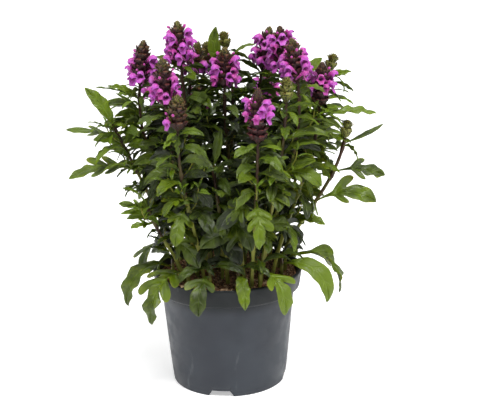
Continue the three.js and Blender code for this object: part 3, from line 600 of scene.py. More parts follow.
# Smaller pairs that fill the stem between them.
PAIRS_BETWEEN = [
    (.42, "narrow", 44, 45, -30), (.54, "cut", 50, 40, -50), (.6, "fingered", 50, 40, -55),
    (.66, "broad", 50, 45, -45), (.7, "narrow", 50, 55, -20), (.75, "broad", 46, 55, -30),
    (.79, "narrow", 52, 45, -45), (.84, "broad", 46, 45, -40), (.89, "narrow", 44, 40, -50),
    (.92, "broad", 36, 50, -30), (.965, "narrow", 32, 40, -30), (.985, "narrow", 24, 30, -35),
]
BETWEEN_TURN = 0.8
# The heart of the plant: the stems behind its middle keep their broad lower leaves. Those before it are
# bare up to the given share.
HEART_PAIRS = [
    (.03, "broad", 50, 75, 0), (.08, "broad", 56, 60, -30), (.15, "broad", 62, 50, -45),
    (.21, "broad", 64, 55, -30), (.29, "broad", 66, 50, -40), (.35, "broad", 64, 50, -30),
    (.45, "broad", 60, 50, -40), (.51, "broad", 56, 55, -30), (.57, "broad", 54, 50, -30),
    (.63, "broad", 52, 55, -35), (.69, "broad", 50, 50, -30), (.76, "broad", 48, 50, -30),
    (.82, "broad", 44, 50, -30), (.87, "broad", 42, 45, -30),
]
BARE_TO = 0.5
# Single leaves that fill out the plant's left side and its top: stem, share of it, tip, bend in degrees,
# and shape.
FILLING_LEAVES = [
    ("stem_01", .86, (-118, -4, 334), 30, "broad"),
    ("stem_01", .78, (-126, -12, 296), 50, "narrow"),
    ("stem_01", .66, (-112, -20, 304), 20, "narrow"),
    ("leafy_stem_01", .84, (-118, -18, 262), 60, "fingered"),
    ("stem_04", .985, (-57, -76, 321), -20, "narrow"),
    ("stem_04", .97, (-46, -84, 291), 60, "broad"),
    ("stem_01", .93, (-140, 0, 340), 30, "narrow"),
    ("stem_09", .97, (12, 30, 333), 50, "broad"),
    ("stem_09", .985, (18, 38, 363), 40, "narrow"),
    ("stem_10", .99, (107, -10, 369), 40, "broad"),
    ("stem_18", .97, (134, 25, 325), 140, "narrow"),
    ("leafy_stem_02", .93, (-114, -52, 211), 30, "broad"),
    ("leafy_stem_02", .5, (-87, -42, 183), 30, "narrow"),
    ("leafy_stem_02", .35, (-87, -40, 169), 40, "broad"),
    ("stem_01", .86, (-120, -5, 322), 40, "narrow"),
    ("stem_01", .8, (-123, -8, 304), 60, "broad"),
    ("stem_10", .97, (43, 20, 346), 40, "broad"),
    ("stem_01", .83, (-106, 0, 312), 50, "broad"),
    ("stem_11", .3, (72, -62, 166), 80, "broad"),
    ("stem_11", .28, (86, -45, 167), 60, "broad"),
    ("stem_02", .97, (-75, 25, 369), 50, "narrow"),
    ("leafy_stem_02", .9, (-109, -40, 202), 40, "broad"),
    ("leafy_stem_02", .6, (-83, -50, 191), 30, "broad"),
    ("stem_11", .97, (128, 25, 306), 50, "broad"),
]
# Side shoots: their width, how far they lean out, their length at the foot, middle and top of a stem, and
# for each of their pairs the share of the shoot, the length, the slopes at root and tip in radians, and
# how young it is.
SHOOT_WIDTH, SHOOT_LEAN = 1.6, 0.75
SHOOT_LENGTHS = (12, 32, 22)
SHOOT_STRAY = 0.35
SHOOT_PAIRS = [(.45, 26, 0.7, -0.7, 0.3), (.8, 21, 0.9, -0.3, 0.6), (1, 13, 1.25, 0.5, 1.0)]
SHOOTS_TO = 0.9
# One bud's stem stands clear of the others, and is bare between its pairs.
CLEAR_STEM = "stem_20"
# The stems whose spikes stand further back than this lack the second of their pairs.
BACK_ROW = 35
# How far the leaves of a pair stray from its plan, in degrees, as a share of the length, and in radians.
STRAYS = {"heading": 14, "rise": 12, "droop": 16, "length": 0.14, "roll": 0.8}
# A rim shoot's arching leaf: share of the shoot, and slopes at root and tip in degrees. Its side leaves:
# share of the shoot, turn from the arching leaf, shape, length, and slopes.
OVER_LEAF = (.5, 34, -104)
SIDE_LEAF = (.95, 86, "narrow", 46, 45, -50)
SHOOT_ROLL = 0.4
# Each kind of leaf draws its strays from whole numbers of its own, which start here.
OVER_SEED, SIDE_SEED, MARKED_SEED, BETWEEN_SEED, FILLING_SEED = 500, 600, 900, 2000, 3000

# Leaf greens: a painted shade for leaves inside the plant and a painted light for those outside it or at
# its top, a young green, the underside and the veins.
SHADED_GREEN, LIT_GREEN, YOUNG_GREEN = (0.0075, 0.012, 0.002), (0.101, 0.153, 0.004), (0.15, 0.255, 0.006)
UNDERSIDE, VEIN = (0.068, 0.098, 0.024), (0.18, 0.26, 0.04)


def stray(number, most):
    """A repeatable draw from -most to most for a whole number: the fraction of a large sine."""
    wave = math.sin(number * 12.9898) * 43758.5453
    return ((wave - math.floor(wave)) * 2 - 1) * most


def rib_frame(leaf, t):
    """The midrib at shares t of its length: a circular arc from the slope rise to the slope droop. The
    blade rolls about it by t times the roll, and within its stalk by the face as well, where it has one.
    Gives the point, the way across and the upper side."""
    t = np.asarray(t, float)
    rise, bend, length = leaf["rise"], leaf["droop"] - leaf["rise"], leaf["length"]
    slope = rise + bend * t
    heading = leaf["heading"] + 0 * t
    out = round_axis(1, heading, 0)
    side = round_axis(1, heading + np.pi / 2, 0)
    forward = length * (np.sin(slope) - np.sin(rise)) / bend
    upward = length * (np.cos(rise) - np.cos(slope)) / bend
    point = leaf["root"] + forward[..., None] * out + upward[..., None] * UP
    upper = np.cos(slope)[..., None] * UP - np.sin(slope)[..., None] * out
    eased = np.clip(t / STALK_SHARE, 0, 1)
    roll = (leaf["roll"] * t + leaf.get("face", 0) * eased**2 * (3 - 2 * eased))[..., None]
    return point, np.cos(roll) * side + np.sin(roll) * upper, np.cos(roll) * upper - np.sin(roll) * side


def leaf_to(tip, bend, root, roll):
    """A leaf from its root to a given tip, bent by an angle on the way."""
    chord = np.array(tip, float) - root
    half = math.radians(bend) / 2
    slope = math.atan2(chord[2], math.hypot(chord[0], chord[1]))
    return {
        "root": root, "heading": math.atan2(chord[1], chord[0]), "rise": slope + half,
        "droop": slope - half, "length": float(np.linalg.norm(chord)) * half / math.sin(half), "roll": roll,
    }


def settled(leaf, points):
    """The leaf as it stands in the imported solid. There it may be swung, lifted or made shorter to clear
    its neighbours, so this is the choice whose tip is one of the solid's points, or none if the leaf was
    left off."""
    shrink, lift, swing = (choice.ravel() for choice in np.meshgrid(SHRINKS, LIFTS, SWINGS, indexing="ij"))
    moves = {
        "heading": leaf["heading"] + np.radians(swing), "rise": leaf["rise"] + np.radians(lift),
        "droop": leaf["droop"] + np.radians(lift), "length": leaf["length"] * shrink,
    }
    tip, _, upper = rib_frame(leaf | moves, np.ones(len(swing)))
    tip = tip + upper * SOLID_THICKNESS / 2
    miss = np.linalg.norm(tip[:, None] - points[None], axis=-1).min(axis=1)
    best = miss.argmin()
    return leaf | {name: moved[best] for name, moved in moves.items()} if miss[best] <= MATCH else None


def kept_inside(leaf):
    """The leaf, made shorter where its tip is outside the plant's outline, or none where that fails."""
    for shrink in SHRINKS:
        tried = leaf | {"length": leaf["length"] * shrink}
        x, y, z = rib_frame(tried, 1)[0]
        height = max(0, (z - OUTLINE_LOW) / (OUTLINE_HIGH - OUTLINE_LOW))
        if math.hypot(x, y) < OUTLINE_FOOT + OUTLINE_SPREAD * height**OUTLINE_POWER:
            return tried
    return None


def smooth_line(rows, count):
    """Rows evenly spaced along the curve through the given rows. Between two of them it is the cubic that
    keeps, at each, the way from the row before it to the row after it."""
    rows = np.array(rows, float)
    padded = np.concatenate([[2 * rows[0] - rows[1]], rows, [2 * rows[-1] - rows[-2]]])
    s = np.linspace(0, len(rows) - 1, count)
    i = np.minimum(s.astype(int), len(rows) - 2)
    f = (s - i)[:, None]
    a, b, c, d = (padded[i + step] for step in range(4))
    return b + 0.5 * f * (c - a + f * (2 * a - 5 * b + 4 * c - d + f * (3 * b - a - 3 * c + d)))


def faced(leaf, seed):
    """The leaf turned within its stalk towards the light outside the plant: by the sideways share of the
    way out from the middle, which is nothing for a leaf that points straight out."""
    x, y, _ = leaf["root"]
    away = math.hypot(x, y)
    sideways = (y * math.cos(leaf["heading"]) - x * math.sin(leaf["heading"])) / away
    turned_by = -LIGHT_TURN * sideways * min(1, away / INNER_RADIUS)
    return leaf | {"face": turned_by + stray(seed + 11, LIGHT_STRAY)}


def blade(leaf, kind, seed, youth=0.0, lines=None, cells=LARGE_CELLS):
    """A leaf's body. Lines leave the midrib for the outline, and each is crossed at even steps k from -1
    to 1 over the upper face and back under the lower one, so that a ring runs round the blade. The faces
    part by the thickness, which dies out at the margin. The blade folds up along the rib, swells between
    side veins, and waves at its margin. Its two sides differ a little, and the outline stands out at each
    vein."""
    shape = LEAF_SHAPES[kind]
    vein, rib, along, across = smooth_line(shape, lines or 2 * len(shape) - 1).T[..., None]
    k = np.linspace(-1, 1, cells + 1)
    k = np.concatenate([k, k[-2:0:-1]])
    face = np.concatenate([[0], np.ones(cells - 1), [0], -np.ones(cells - 1)])
    far, bulge = np.abs(k), np.sin(np.pi * rib)
    uneven = np.sign(k) * bulge
    t = rib + (along + stray(seed + 1, UNEVEN_ALONG) * uneven - rib) * far**LINE_SWEEP
    toothed = 1 + TOOTH * np.cos(2 * np.pi * vein) * np.clip(vein, 0, 1)
    toothed = toothed + stray(seed + 2, UNEVEN_ACROSS) * uneven
    wide = across * toothed * k * leaf["length"]
    fold = (LEAF_FOLD + stray(seed, LEAF_FOLD)) * np.abs(wide) * np.sin(np.pi * np.clip(t, 0, 1)) ** 0.5
    swelling = VEIN_SWELL * leaf["length"] * np.sin(np.pi * (vein % 1)) * np.sin(np.pi * far)
    wave = stray(seed + 7, MARGIN_WAVE) * leaf["length"] * np.sin(2 * np.pi * vein + seed)
    wave = wave * far**2 * bulge
    at_rib = np.where(face < 0, RIB_BELOW, -RIB_SUNK) * (far < 0.1) * np.abs(face)
    rise = fold + swelling + wave + face / 2 * (BLADE * (1 - far**4) + at_rib)
    point, way, upper = rib_frame(leaf, t)
    rings = point + wide[..., None] * way + rise[..., None] * upper
    poles = rib_frame(leaf, [-0.01, 1])[0]
    # Painted light and shade: the tone mark holds how lit the leaf is painted, with a random tone added,
    # and a leaf looks young mostly where it is painted lit.
    reach = np.hypot(*rib_frame(leaf, LIT_AT)[0][:2]) / np.interp(poles[1, 2], *PLANT_REACH)
    lit = max(np.interp(reach, (SHADED_REACH, LIT_REACH), (0, 1)), np.interp(poles[1, 2], *LIT_HEIGHTS))
    return tubes(
        rings[None], poles[None], vein=vein, margin=far, under=face < 0,
        tone=0.8 * lit + stray(seed + 3, 0.4), youth=youth * (0.3 + 0.7 * lit),
    )


leaf_finish, tree, shader = new_finish(
    "leaf", Subsurface_Weight=0.12, Subsurface_Scale=0.003, Subsurface_Radius=(0.55, 0.65, 0.12),
    Specular_IOR_Level=0.33)
vein, margin, under, tone, youth = read_marks(tree, "vein", "margin", "under", "tone", "youth")
rib_line = spread(tree, margin, 0.03, 0.13, 1, 0)
side_line = spread(tree, maths(tree, "PINGPONG", vein, 0.5), 0.0, 0.1, 1, 0)
side_line = maths(tree, "MULTIPLY", side_line, spread(tree, margin, 0.4, 0.95, 0.7, 0))
lines = maths(tree, "MAXIMUM", rib_line, side_line)
# Painted light and shade: the tone mark, with a mottle, mixes the painted shade green into the painted
# light one, and the veins show more on painted-lit leaves.
depth = maths(tree, "ADD", tone, maths(tree, "MULTIPLY", mottled(tree, 55), 0.35))
green = mixed(tree, spread(tree, depth, 0.16, 1.36), SHADED_GREEN, LIT_GREEN)
green = mixed(tree, youth, green, YOUNG_GREEN)
green = mixed(tree, maths(tree, "MULTIPLY", under, 0.6), green, UNDERSIDE)
shown = maths(tree, "MULTIPLY", lines, spread(tree, depth, 0.1, 1.2, 0.05, 0.32))
green = mixed(tree, shown, green, VEIN)
dull = spread(tree, mottled(tree, 120), 0, 1, 0.3, 0.52)
dull = maths(tree, "ADD", maths(tree, "MULTIPLY", under, 0.2), dull)
grain = maths(tree, "MULTIPLY", mottled(tree, 1300, 0.2, 0.8, 2), 0.25)
coat(tree, shader, green, maths(tree, "SUBTRACT", grain, lines), 0.8, 0.0006, dull)


def side_shoot(root, heading, length, seed):
    """A short shoot in a leaf's axil, with three small pairs of leaves at right angles to each other, the
    last of them young and folded at its tip. Its thin stalk is a curve of four points: it leaves outwards
    for two fifths of its length and arrives upright for three tenths."""
    out, side = round_axis(1, heading + np.array([0, np.pi / 2]), 0)
    end = root + length * unit(SHOOT_LEAN * out + UP)
    line = np.array([root, root + length * 0.4 * unit(out + 0.4 * UP), end - length * 0.3 * UP, end])
    centre = on_line(line, np.linspace(0, 1, 5))
    angle = even_turns(5)[:, None]
    ring = SHOOT_WIDTH / 2 * (np.cos(angle) * out + np.sin(angle) * side)
    bodies = [tubes((centre[:, None] + ring)[None], centre[[0, -1]][None], finish=1, height=0.3)]
    growth = 0.6 + 0.4 * length / SHOOT_LENGTHS[1]
    for pair, (at, small, rise, droop, youth) in enumerate(SHOOT_PAIRS):
        for turn in (0, 1):
            own_seed = seed + 10 * pair + 5 * turn
            leaf = {
                "root": on_line(line, at),
                "heading": heading + math.pi * (0.5 * (pair + 1) + turn) + stray(own_seed, 0.4),
                "rise": rise + stray(own_seed + 1, 0.3), "droop": droop + stray(own_seed + 2, 0.4),
                "roll": stray(own_seed + 3, 0.6),
                "length": small * growth * (1 + stray(own_seed + 4, 0.25)),
            }
            leaf = faced(leaf, own_seed)
            own_youth = youth + stray(own_seed + 5, 0.15)
            bodies.append(blade(leaf, "narrow", own_seed, own_youth, YOUNG_LINES, SMALL_CELLS))
    return bodies


def grow(node, line, turn, planned, between=()):
    """A stem's piece: its stalk, its leaves as they stand in the solid, a side shoot in their axils, and
    the smaller leaves between them."""
    points = places(node)
    bodies, joints = [], []
    for seed, at, kind, leaf, shoots, face in planned:
        found = settled(leaf, points)
        if found is None:
            continue
        joints.append(at)
        found = faced(found, seed) if face is None else found | {"face": face}
        bodies.append(blade(found, kind, seed, TOP_YOUTH * (at > TOP_FROM)))
        if shoots and at < SHOOTS_TO and node != CLEAR_STEM:
            length = np.interp(at, (0, 0.5, 1), SHOOT_LENGTHS) * (1 + stray(seed, SHOOT_STRAY))
            bodies += side_shoot(on_line(line, at), found["heading"], length, seed * 11)
    for seed, at, kind, leaf in between:
        youth = BETWEEN_YOUTH * (at > BETWEEN_FROM) + stray(seed + 5, 0.1)
        bodies.append(blade(faced(leaf, seed), kind, seed, youth, len(LEAF_SHAPES[kind]), SMALL_CELLS))
    piece = make_piece(node + "_foliage", [stalk(line, turn, joints), *bodies], [leaf_finish, stem_finish])
    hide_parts(node)


def pair_leaf(line, turn, p, side, pair, seed):
    """One leaf of a pair. Pair p stands across the one below it, and a leaf strays from the pair's plan
    in each quality by a draw of its own, a hundred on from the last."""
    at, _, length, rise, droop = pair
    off = {name: stray(seed + 100 * i, most) for i, (name, most) in enumerate(STRAYS.items())}
    return {
        "root": on_line(line, at), "heading": turn + math.radians(90 * p + 180 * side + off["heading"]),
        "rise": math.radians(rise + off["rise"]), "droop": math.radians(droop + off["droop"]),
        "length": length * (1 + off["length"]), "roll": off["roll"],
    }


stems = []
for number, (turn, _, _) in FLOWERING.items():
    foot, tip = spike_axis("spike_" + number)
    along = unit(tip - foot)
    pairs = PAIRS if foot[1] < BACK_ROW else [PAIRS[0], *PAIRS[2:]]
    stems.append(("stem_" + number, foot - along * FIT_GAP, along, turn, pairs))
for number, (tip, turn) in LEAFY.items():
    node = "leafy_stem_" + number
    lean = np.array(tip) - stem_foot(node)
    along = unit(np.array([lean[0], lean[1], LEAFY_RISE]))
    stems.append((node, np.array(tip, float), along, turn, [*PAIRS[:2], TUFT]))

for s, (node, top, along, turn, pairs) in enumerate(stems):
    line = stem_line(stem_foot(node), top, along)
    turn = math.radians(turn)
    planned, between = [], []
    for i, (on, at, tip, bend, kind, front) in enumerate(MARKED_LEAVES):
        if on == node:
            leaf = leaf_to(tip, bend, on_line(line, at), stray(i + MARKED_SEED, MARKED_ROLL))
            face = math.radians(front) * math.cos(leaf["heading"])
            planned.append((i + MARKED_SEED, at, kind, leaf, True, face))
    for p, pair in enumerate(pairs):
        for side in (0, 1):
            seed = s * 19 + p * 4 + side
            planned.append((seed, *pair[:2], pair_leaf(line, turn, p, side, pair, seed), True, None))
    if line[0, 1] < 0:
        filling = [pair for pair in PAIRS_BETWEEN if pair[0] > BARE_TO]
    else:
        filling = PAIRS_BETWEEN + HEART_PAIRS if node != CLEAR_STEM else []
    for p, pair in enumerate(filling):
        for side in (0, 1):
            seed = BETWEEN_SEED + s * 31 + p * 2 + side
            leaf = kept_inside(pair_leaf(line, turn + BETWEEN_TURN, p, side, pair, seed))
            if leaf:
                between.append((seed, *pair[:2], leaf))
    for i, (on, at, tip, bend, kind) in enumerate(FILLING_LEAVES):
        if on == node:
            leaf = leaf_to(tip, bend, on_line(line, at), stray(i, MARKED_ROLL))
            between.append((FILLING_SEED + i, at, kind, leaf))
    grow(node, line, turn, planned, between)

for i, (number, (bearing, reach, kind, front)) in enumerate(RIM_SHOOTS.items()):
    node = "rim_shoot_" + number
    turn = math.radians(bearing)
    foot = stem_foot(node)
    line = stem_line(foot, foot + UP * (SHOOT_HEIGHT - FOOT_RISE), UP)
    at, rise, droop = OVER_LEAF
    over = {
        "root": on_line(line, at), "heading": turn, "rise": math.radians(rise),
        "droop": math.radians(droop), "length": reach, "roll": stray(i, SHOOT_ROLL),
    }
    planned = [(i + OVER_SEED, at, kind, over, False, math.radians(front) * math.cos(turn))]
    at, swing, kind, length, rise, droop = SIDE_LEAF
    for side in (1, -1):
        leaf = over | {
            "root": on_line(line, at), "heading": turn + side * math.radians(swing), "length": length,
            "rise": math.radians(rise), "droop": math.radians(droop), "roll": stray(i + side, SHOOT_ROLL),
        }
        planned.append((i * 2 + side + SIDE_SEED, at, kind, leaf, True, None))
    grow(node, line, turn, planned)


# Flower spikes
# A spike is a dense cone of two-lipped calyces, five to a row, with a broad papery bract below each gap.
# Both are maroon-brown when ripe and olive in bud. The violet-pink florets push out of the calyces.
CALYCES = 5
# A floret stands as far out as the row's radius and its calyx's reach, which both shrink up the spike.
ROW_RADIUS, ROW_TAPER = 6, 0.62
CALYX_REACH, CALYX_TAPER = 2.8, 0.4
CALYX_LENGTH, BRACT_LENGTH, SMALLER_UP = 10, 9, 0.3
CORE_RADIUS, BODY_RADIUS = 6, 11
# Where a calyx is rooted, as a share of the core's radius, and a bract, as a share of the spike's.
CALYX_ROOT, BRACT_ROOT = 0.6, 0.62
# How far a bract leans out, and how much more it does at the top, in radians.
BRACT_LEAN, LEAN_UP = 0.3, 0.1
# How far the calyces and bracts stray in pitch and yaw, and the scales of the cone in both, in radians.
PITCH_STRAY, YAW_STRAY, SCALE_STRAY = 0.09, 0.1, 0.08
# How ripe the spikes are, from green at 0 to maroon at 1: some of them, and the others.
RIPENESS = {"04": 0.75, "05": 0.6, "06": 0.65, "17": 0.05, "18": 0.05, "19": 0, "20": 0.05}
RIPE = 0.95
# How green the tip of a ripe cone still is: on some spikes, and on the others.
FRESH_TIPS = {"01": 0.45, "08": 0.3, "11": 0.35, "12": 0.25}
FRESH_TIP = 0.62
# The girth of a green spike, as a share of one in bloom.
GREEN_GIRTH = 0.68
# A spike with a single floret left, and its place round the spike.
SINGLE = {"04": 6}
# How many of a spike's blooming rows, from the top, have shed the florets at the front, and the places of
# those. Of the others, a few have none, and some are small.
SHED_ROWS = {"01": 3, "03": 2, "07": 3, "08": 0, "10": 2}
SHED_AT = (7, 8)
NO_FLORET, SMALL_FLORET = 0.07, 0.42
# How much smaller those are, the least size of the others, and by how much that grows.
SMALL_SIZE, FLORET_SIZE, FLORET_GROWTH = 0.92, 1.17, 0.25
# A floret's strays in pitch and yaw, each so many times its calyx's.
FLORET_STRAY = 4, 4.5
# Buds: their sizes, the share of calyces that hold one, how far it leans out in radians, and how far its
# root is inside the spike's face.
BUD_SIZES, BUD_SHARE, BUD_LEAN, BUD_INSET = (3.4, 5.2), 0.55, 0.9, 0.8

# The closed cone at a spike's tip: for each ring of its scales, the share of the spike at their feet,
# their length, and their lean in radians.
CONE = [(.62, 6.6, .35), (.7, 6.2, .25), (.77, 5.6, .12), (.84, 5, -.05), (.9, 4.4, -.25), (.94, 3.8, -.5)]
CONE_SCALES, SCALE_SIZES, SCALE_ROOT = 7, (0.9, 1.1), 0.92
# The calyces stop at this share of the rows, and the cone takes over.
CALYX_ROWS = 0.87

# A calyx up its length, as [share, half width, half depth] in shares of its length. It comes back inside
# its mouth.
CALYX_PROFILE = np.array([
    (0, .07, .06), (.22, .18, .13), (.55, .28, .16), (.86, .33, .12), (1, .31, .07), (.84, .22, .04),
])
CALYX_SIDES = 8

# The angles round a floret's mouth in degrees, from its right side upwards: the hood is at 90, and the
# lip hangs below with its three lobes and two notches.
MOUTH = np.array([0, 30, 60, 90, 120, 150, 180, 205, 228, 254, 286, 312, 335])
HOOD_SPREAD = {0: 98, 30: 158, 60: 184, 90: 194, 120: 184, 150: 158, 180: 98}
LIP_LENGTHS = {205: 3.6, 228: 2.6, 254: 5.4, 286: 5.4, 312: 2.6, 335: 3.6}
MOUTH_RADIUS, MOUTH_GAP = 2.0, 0.4
HOOD_RADIUS, HOOD_WIDTH = 3.6, 0.84
FLORET_RISE = -0.12
PETAL_THICKNESS = 0.3

OLIVE, MAROON, SPECK = (0.19, 0.205, 0.028), (0.050, 0.008, 0.010), (0.012, 0.006, 0.005)
OLIVE_BRIM, MAROON_BRIM = (0.29, 0.28, 0.06), (0.17, 0.03, 0.036)
DEEP_VIOLET, VIOLET, PALE_VIOLET = (0.33, 0.030, 0.37), (0.47, 0.050, 0.48), (0.55, 0.20, 0.58)
CRIMSON, CRIMSON_FOOT, THROAT_SHADE = (0.41, 0.008, 0.23), (0.40, 0.010, 0.23), (0.16, 0.02, 0.14)


def spike_ways(foot, tip):
    """A spike's three ways: its side, its front and up its axis."""
    up = unit(tip - foot)
    side = unit(np.cross((0, 1, 0), up))
    return np.stack([side, np.cross(up, side), up])


def round_spike(ways, angle):
    """For each angle round the axis, the ways outwards, sideways and up, as the rows of a matrix."""
    side, front, up = ways
    out = np.cos(angle)[:, None] * side + np.sin(angle)[:, None] * front
    return np.stack([out, np.cross(up, out), np.broadcast_to(up, out.shape)], axis=1)


def tilted(basis, pitch, yaw):
    """The ways turned by a yaw about up and then by a pitch about the way sideways."""
    out, across, up = np.moveaxis(basis, 1, 0)
    yaw, pitch = yaw[:, None], pitch[:, None]
    out, across = out * np.cos(yaw) + across * np.sin(yaw), across * np.cos(yaw) - out * np.sin(yaw)
    out, up = out * np.cos(pitch) + up * np.sin(pitch), up * np.cos(pitch) - out * np.sin(pitch)
    return np.stack([out, across, up], axis=1)


def clothe(form, foot, basis, away, rise, size, turn, finish=0, **marks):
    """Copies of one form on a spike: each stands away from the axis and up it, has the ways of its basis
    turned by a pitch and a yaw, and is scaled to its size. A mark is one value for each copy, or values
    round the form that all the copies share."""
    count, (rings, poles) = len(basis), form
    away, rise, size = (np.broadcast_to(value, count)[:, None] for value in (away, rise, size))
    roots = foot + basis[:, 0] * away + basis[:, 2] * rise
    ways = tilted(basis, *turn)

    def carried(local):
        return roots[:, None] + size[..., None] * np.einsum("pk,nkj->npj", local.reshape(-1, 3), ways)

    marks = {name: mark[:, None, None] if np.ndim(mark) == 1 else mark for name, mark in marks.items()}
    return tubes(carried(rings).reshape(count, *rings.shape), carried(poles), finish, **marks)


def calyx_form():
    """One calyx, a unit long, along the way up: ellipses that widen to a flattened mouth and return
    inside it. Towards the mouth they rise and fall by the cosine of four times the angle, as its teeth."""
    share, wide, deep = CALYX_PROFILE.T[..., None]
    angle = even_turns(CALYX_SIDES, 0.5)
    teeth = 0.14 * np.cos(4 * angle) * np.clip((share - 0.8) / 0.2, 0, 1)
    out = 0.12 * np.sin(np.pi * share) + deep * np.cos(angle)
    rings = np.stack([out, wide * np.sin(angle), share + teeth], axis=-1)
    return rings, np.array([(0, 0, -0.03), (0.02, 0, 0.6)])


def bract_form():
    """One bract, a unit long: a flat pointed egg shape, hollowed round the spike, its tip turned out."""
    share = np.array([0, .12, .35, .6, .82, .96])[:, None]
    angle = even_turns(8)
    wide = 0.43 * np.sin(np.pi * (0.08 + 0.9 * share)) ** 0.8 * np.cos(angle)
    out = 0.045 * np.sin(angle) + 0.22 * share**2.5 - 0.9 * wide**2
    rings = np.stack([out, wide, share + 0 * angle], axis=-1)
    return rings, np.array([(0, 0, -0.02), (0.27, 0, 1.06)])


def floret_form():
    """One floret on the mouth of its calyx, in millimetres. Round the mouth, the upper points go on over
    a sphere as a hood, and the lower ones run out and down a quarter of an ellipse as a lip, whose length
    makes its lobes. The inner face comes back a petal's thickness inside the outer one."""
    angle = np.radians(MOUTH)[:, None]
    ray = np.concatenate([0 * angle, np.cos(angle), np.sin(angle)], axis=1)
    ahead = np.array([1, 0, 0])
    mouth = np.array([2.2, 0, 0.7])
    rings = [np.array([-3.5, 0, -4.2]) + ray * 0.9, mouth + ray * MOUTH_RADIUS]
    upper = (MOUTH < 190)[:, None]
    spread_to = np.radians([HOOD_SPREAD.get(a, 90) for a in MOUTH])[:, None]
    lip = np.array([LIP_LENGTHS.get(a, 0) for a in MOUTH])[:, None]
    start = math.asin(MOUTH_RADIUS / HOOD_RADIUS)
    centre = mouth + ahead * HOOD_RADIUS * math.cos(start)
    for q in (0.35, 0.7, 1.0):
        over = start + (spread_to - start) * q
        hood = centre + HOOD_RADIUS * (ray * np.sin(over) * [0, HOOD_WIDTH, 1] - ahead * np.cos(over))
        out, down = 0.75 * math.sin(np.pi / 2 * q), 1 - math.cos(np.pi / 2 * q)
        fall = mouth + ray * MOUTH_RADIUS + lip * (ahead * out + ray * down)
        rings.append(np.where(upper, hood, fall))
    inward = np.where(upper, centre - rings[-1], ahead * 0.3 - ray)
    rings.append(rings[-1] + unit(inward) * PETAL_THICKNESS)
    rings.append(mouth + ahead * 0.4 + ray * (MOUTH_RADIUS - PETAL_THICKNESS))
    return np.stack(rings), np.array([(-4.2, 0, -5.0), (0.2, 0, -0.5)])


def bud_form():
    """One floret bud, a unit long: an egg whose radius is a power of the sine of half a turn's share."""
    share = np.array([.08, .3, .6, .85])[:, None]
    return round_axis(0.34 * np.sin(np.pi * share) ** 0.7, even_turns(6), share), on_axis(0, 1)[0]


sepal_finish, tree, shader = new_finish(
    "sepal", Roughness=0.55, Subsurface_Weight=0.1, Subsurface_Scale=0.002)
ripe, edge, tone = read_marks(tree, "ripe", "edge", "tone")
flush = maths(tree, "ADD", ripe, maths(tree, "MULTIPLY", mottled(tree, 260), 0.25))
body = mixed(tree, spread(tree, flush, 0.3, 1.0), OLIVE, MAROON)
body = mixed(tree, mottled(tree, 800, 0.45, 0.6), body, SPECK)
brim = mixed(tree, ripe, OLIVE_BRIM, MAROON_BRIM)
near_edge = maths(tree, "ADD", edge, maths(tree, "MULTIPLY", tone, 0.3))
sepal_colour = mixed(tree, spread(tree, near_edge, 0.5, 1.2), body, brim)
coat(tree, shader, sepal_colour, mottled(tree, 1700, 0.25, 0.75), 0.6, 0.0003)

petal_finish, tree, shader = new_finish(
    "petal", Roughness=0.5, Subsurface_Weight=0.25, Subsurface_Scale=0.002,
    Subsurface_Radius=(0.8, 0.3, 0.9), Sheen_Weight=0.2)
edge, tone, throat = read_marks(tree, "edge", "tone", "throat")
blush = mixed(tree, tone, DEEP_VIOLET, VIOLET)
blush = mixed(tree, spread(tree, tone, 0.02, 0.28), CRIMSON, blush)
blush = mixed(tree, spread(tree, edge, 0.35, 1.0), CRIMSON_FOOT, blush)
blush = mixed(tree, maths(tree, "MULTIPLY", mottled(tree, 700), 0.3), blush, PALE_VIOLET)
# Painted shade darkens the throat inside the floret's mouth.
blush = mixed(tree, throat, blush, THROAT_SHADE)
coat(tree, shader, blush, mottled(tree, 1500, 0.25, 0.75), 0.4, 0.0002)

calyx, bract, floret, bud = calyx_form(), bract_form(), floret_form(), bud_form()
calyx_edge = CALYX_PROFILE[:, :1] ** 8
bract_edge = bract[0][..., 2] ** 5
floret_edge = np.array([0, 0.4, 0.6, 0.8, 1, 0.8, 0.4])[:, None]
# The throat's painted shade: on the inner ring of the mouth and its pole.
floret_throat_shade = np.array([0, 0, 0, 0, 0, 0, 0.9])[:, None]

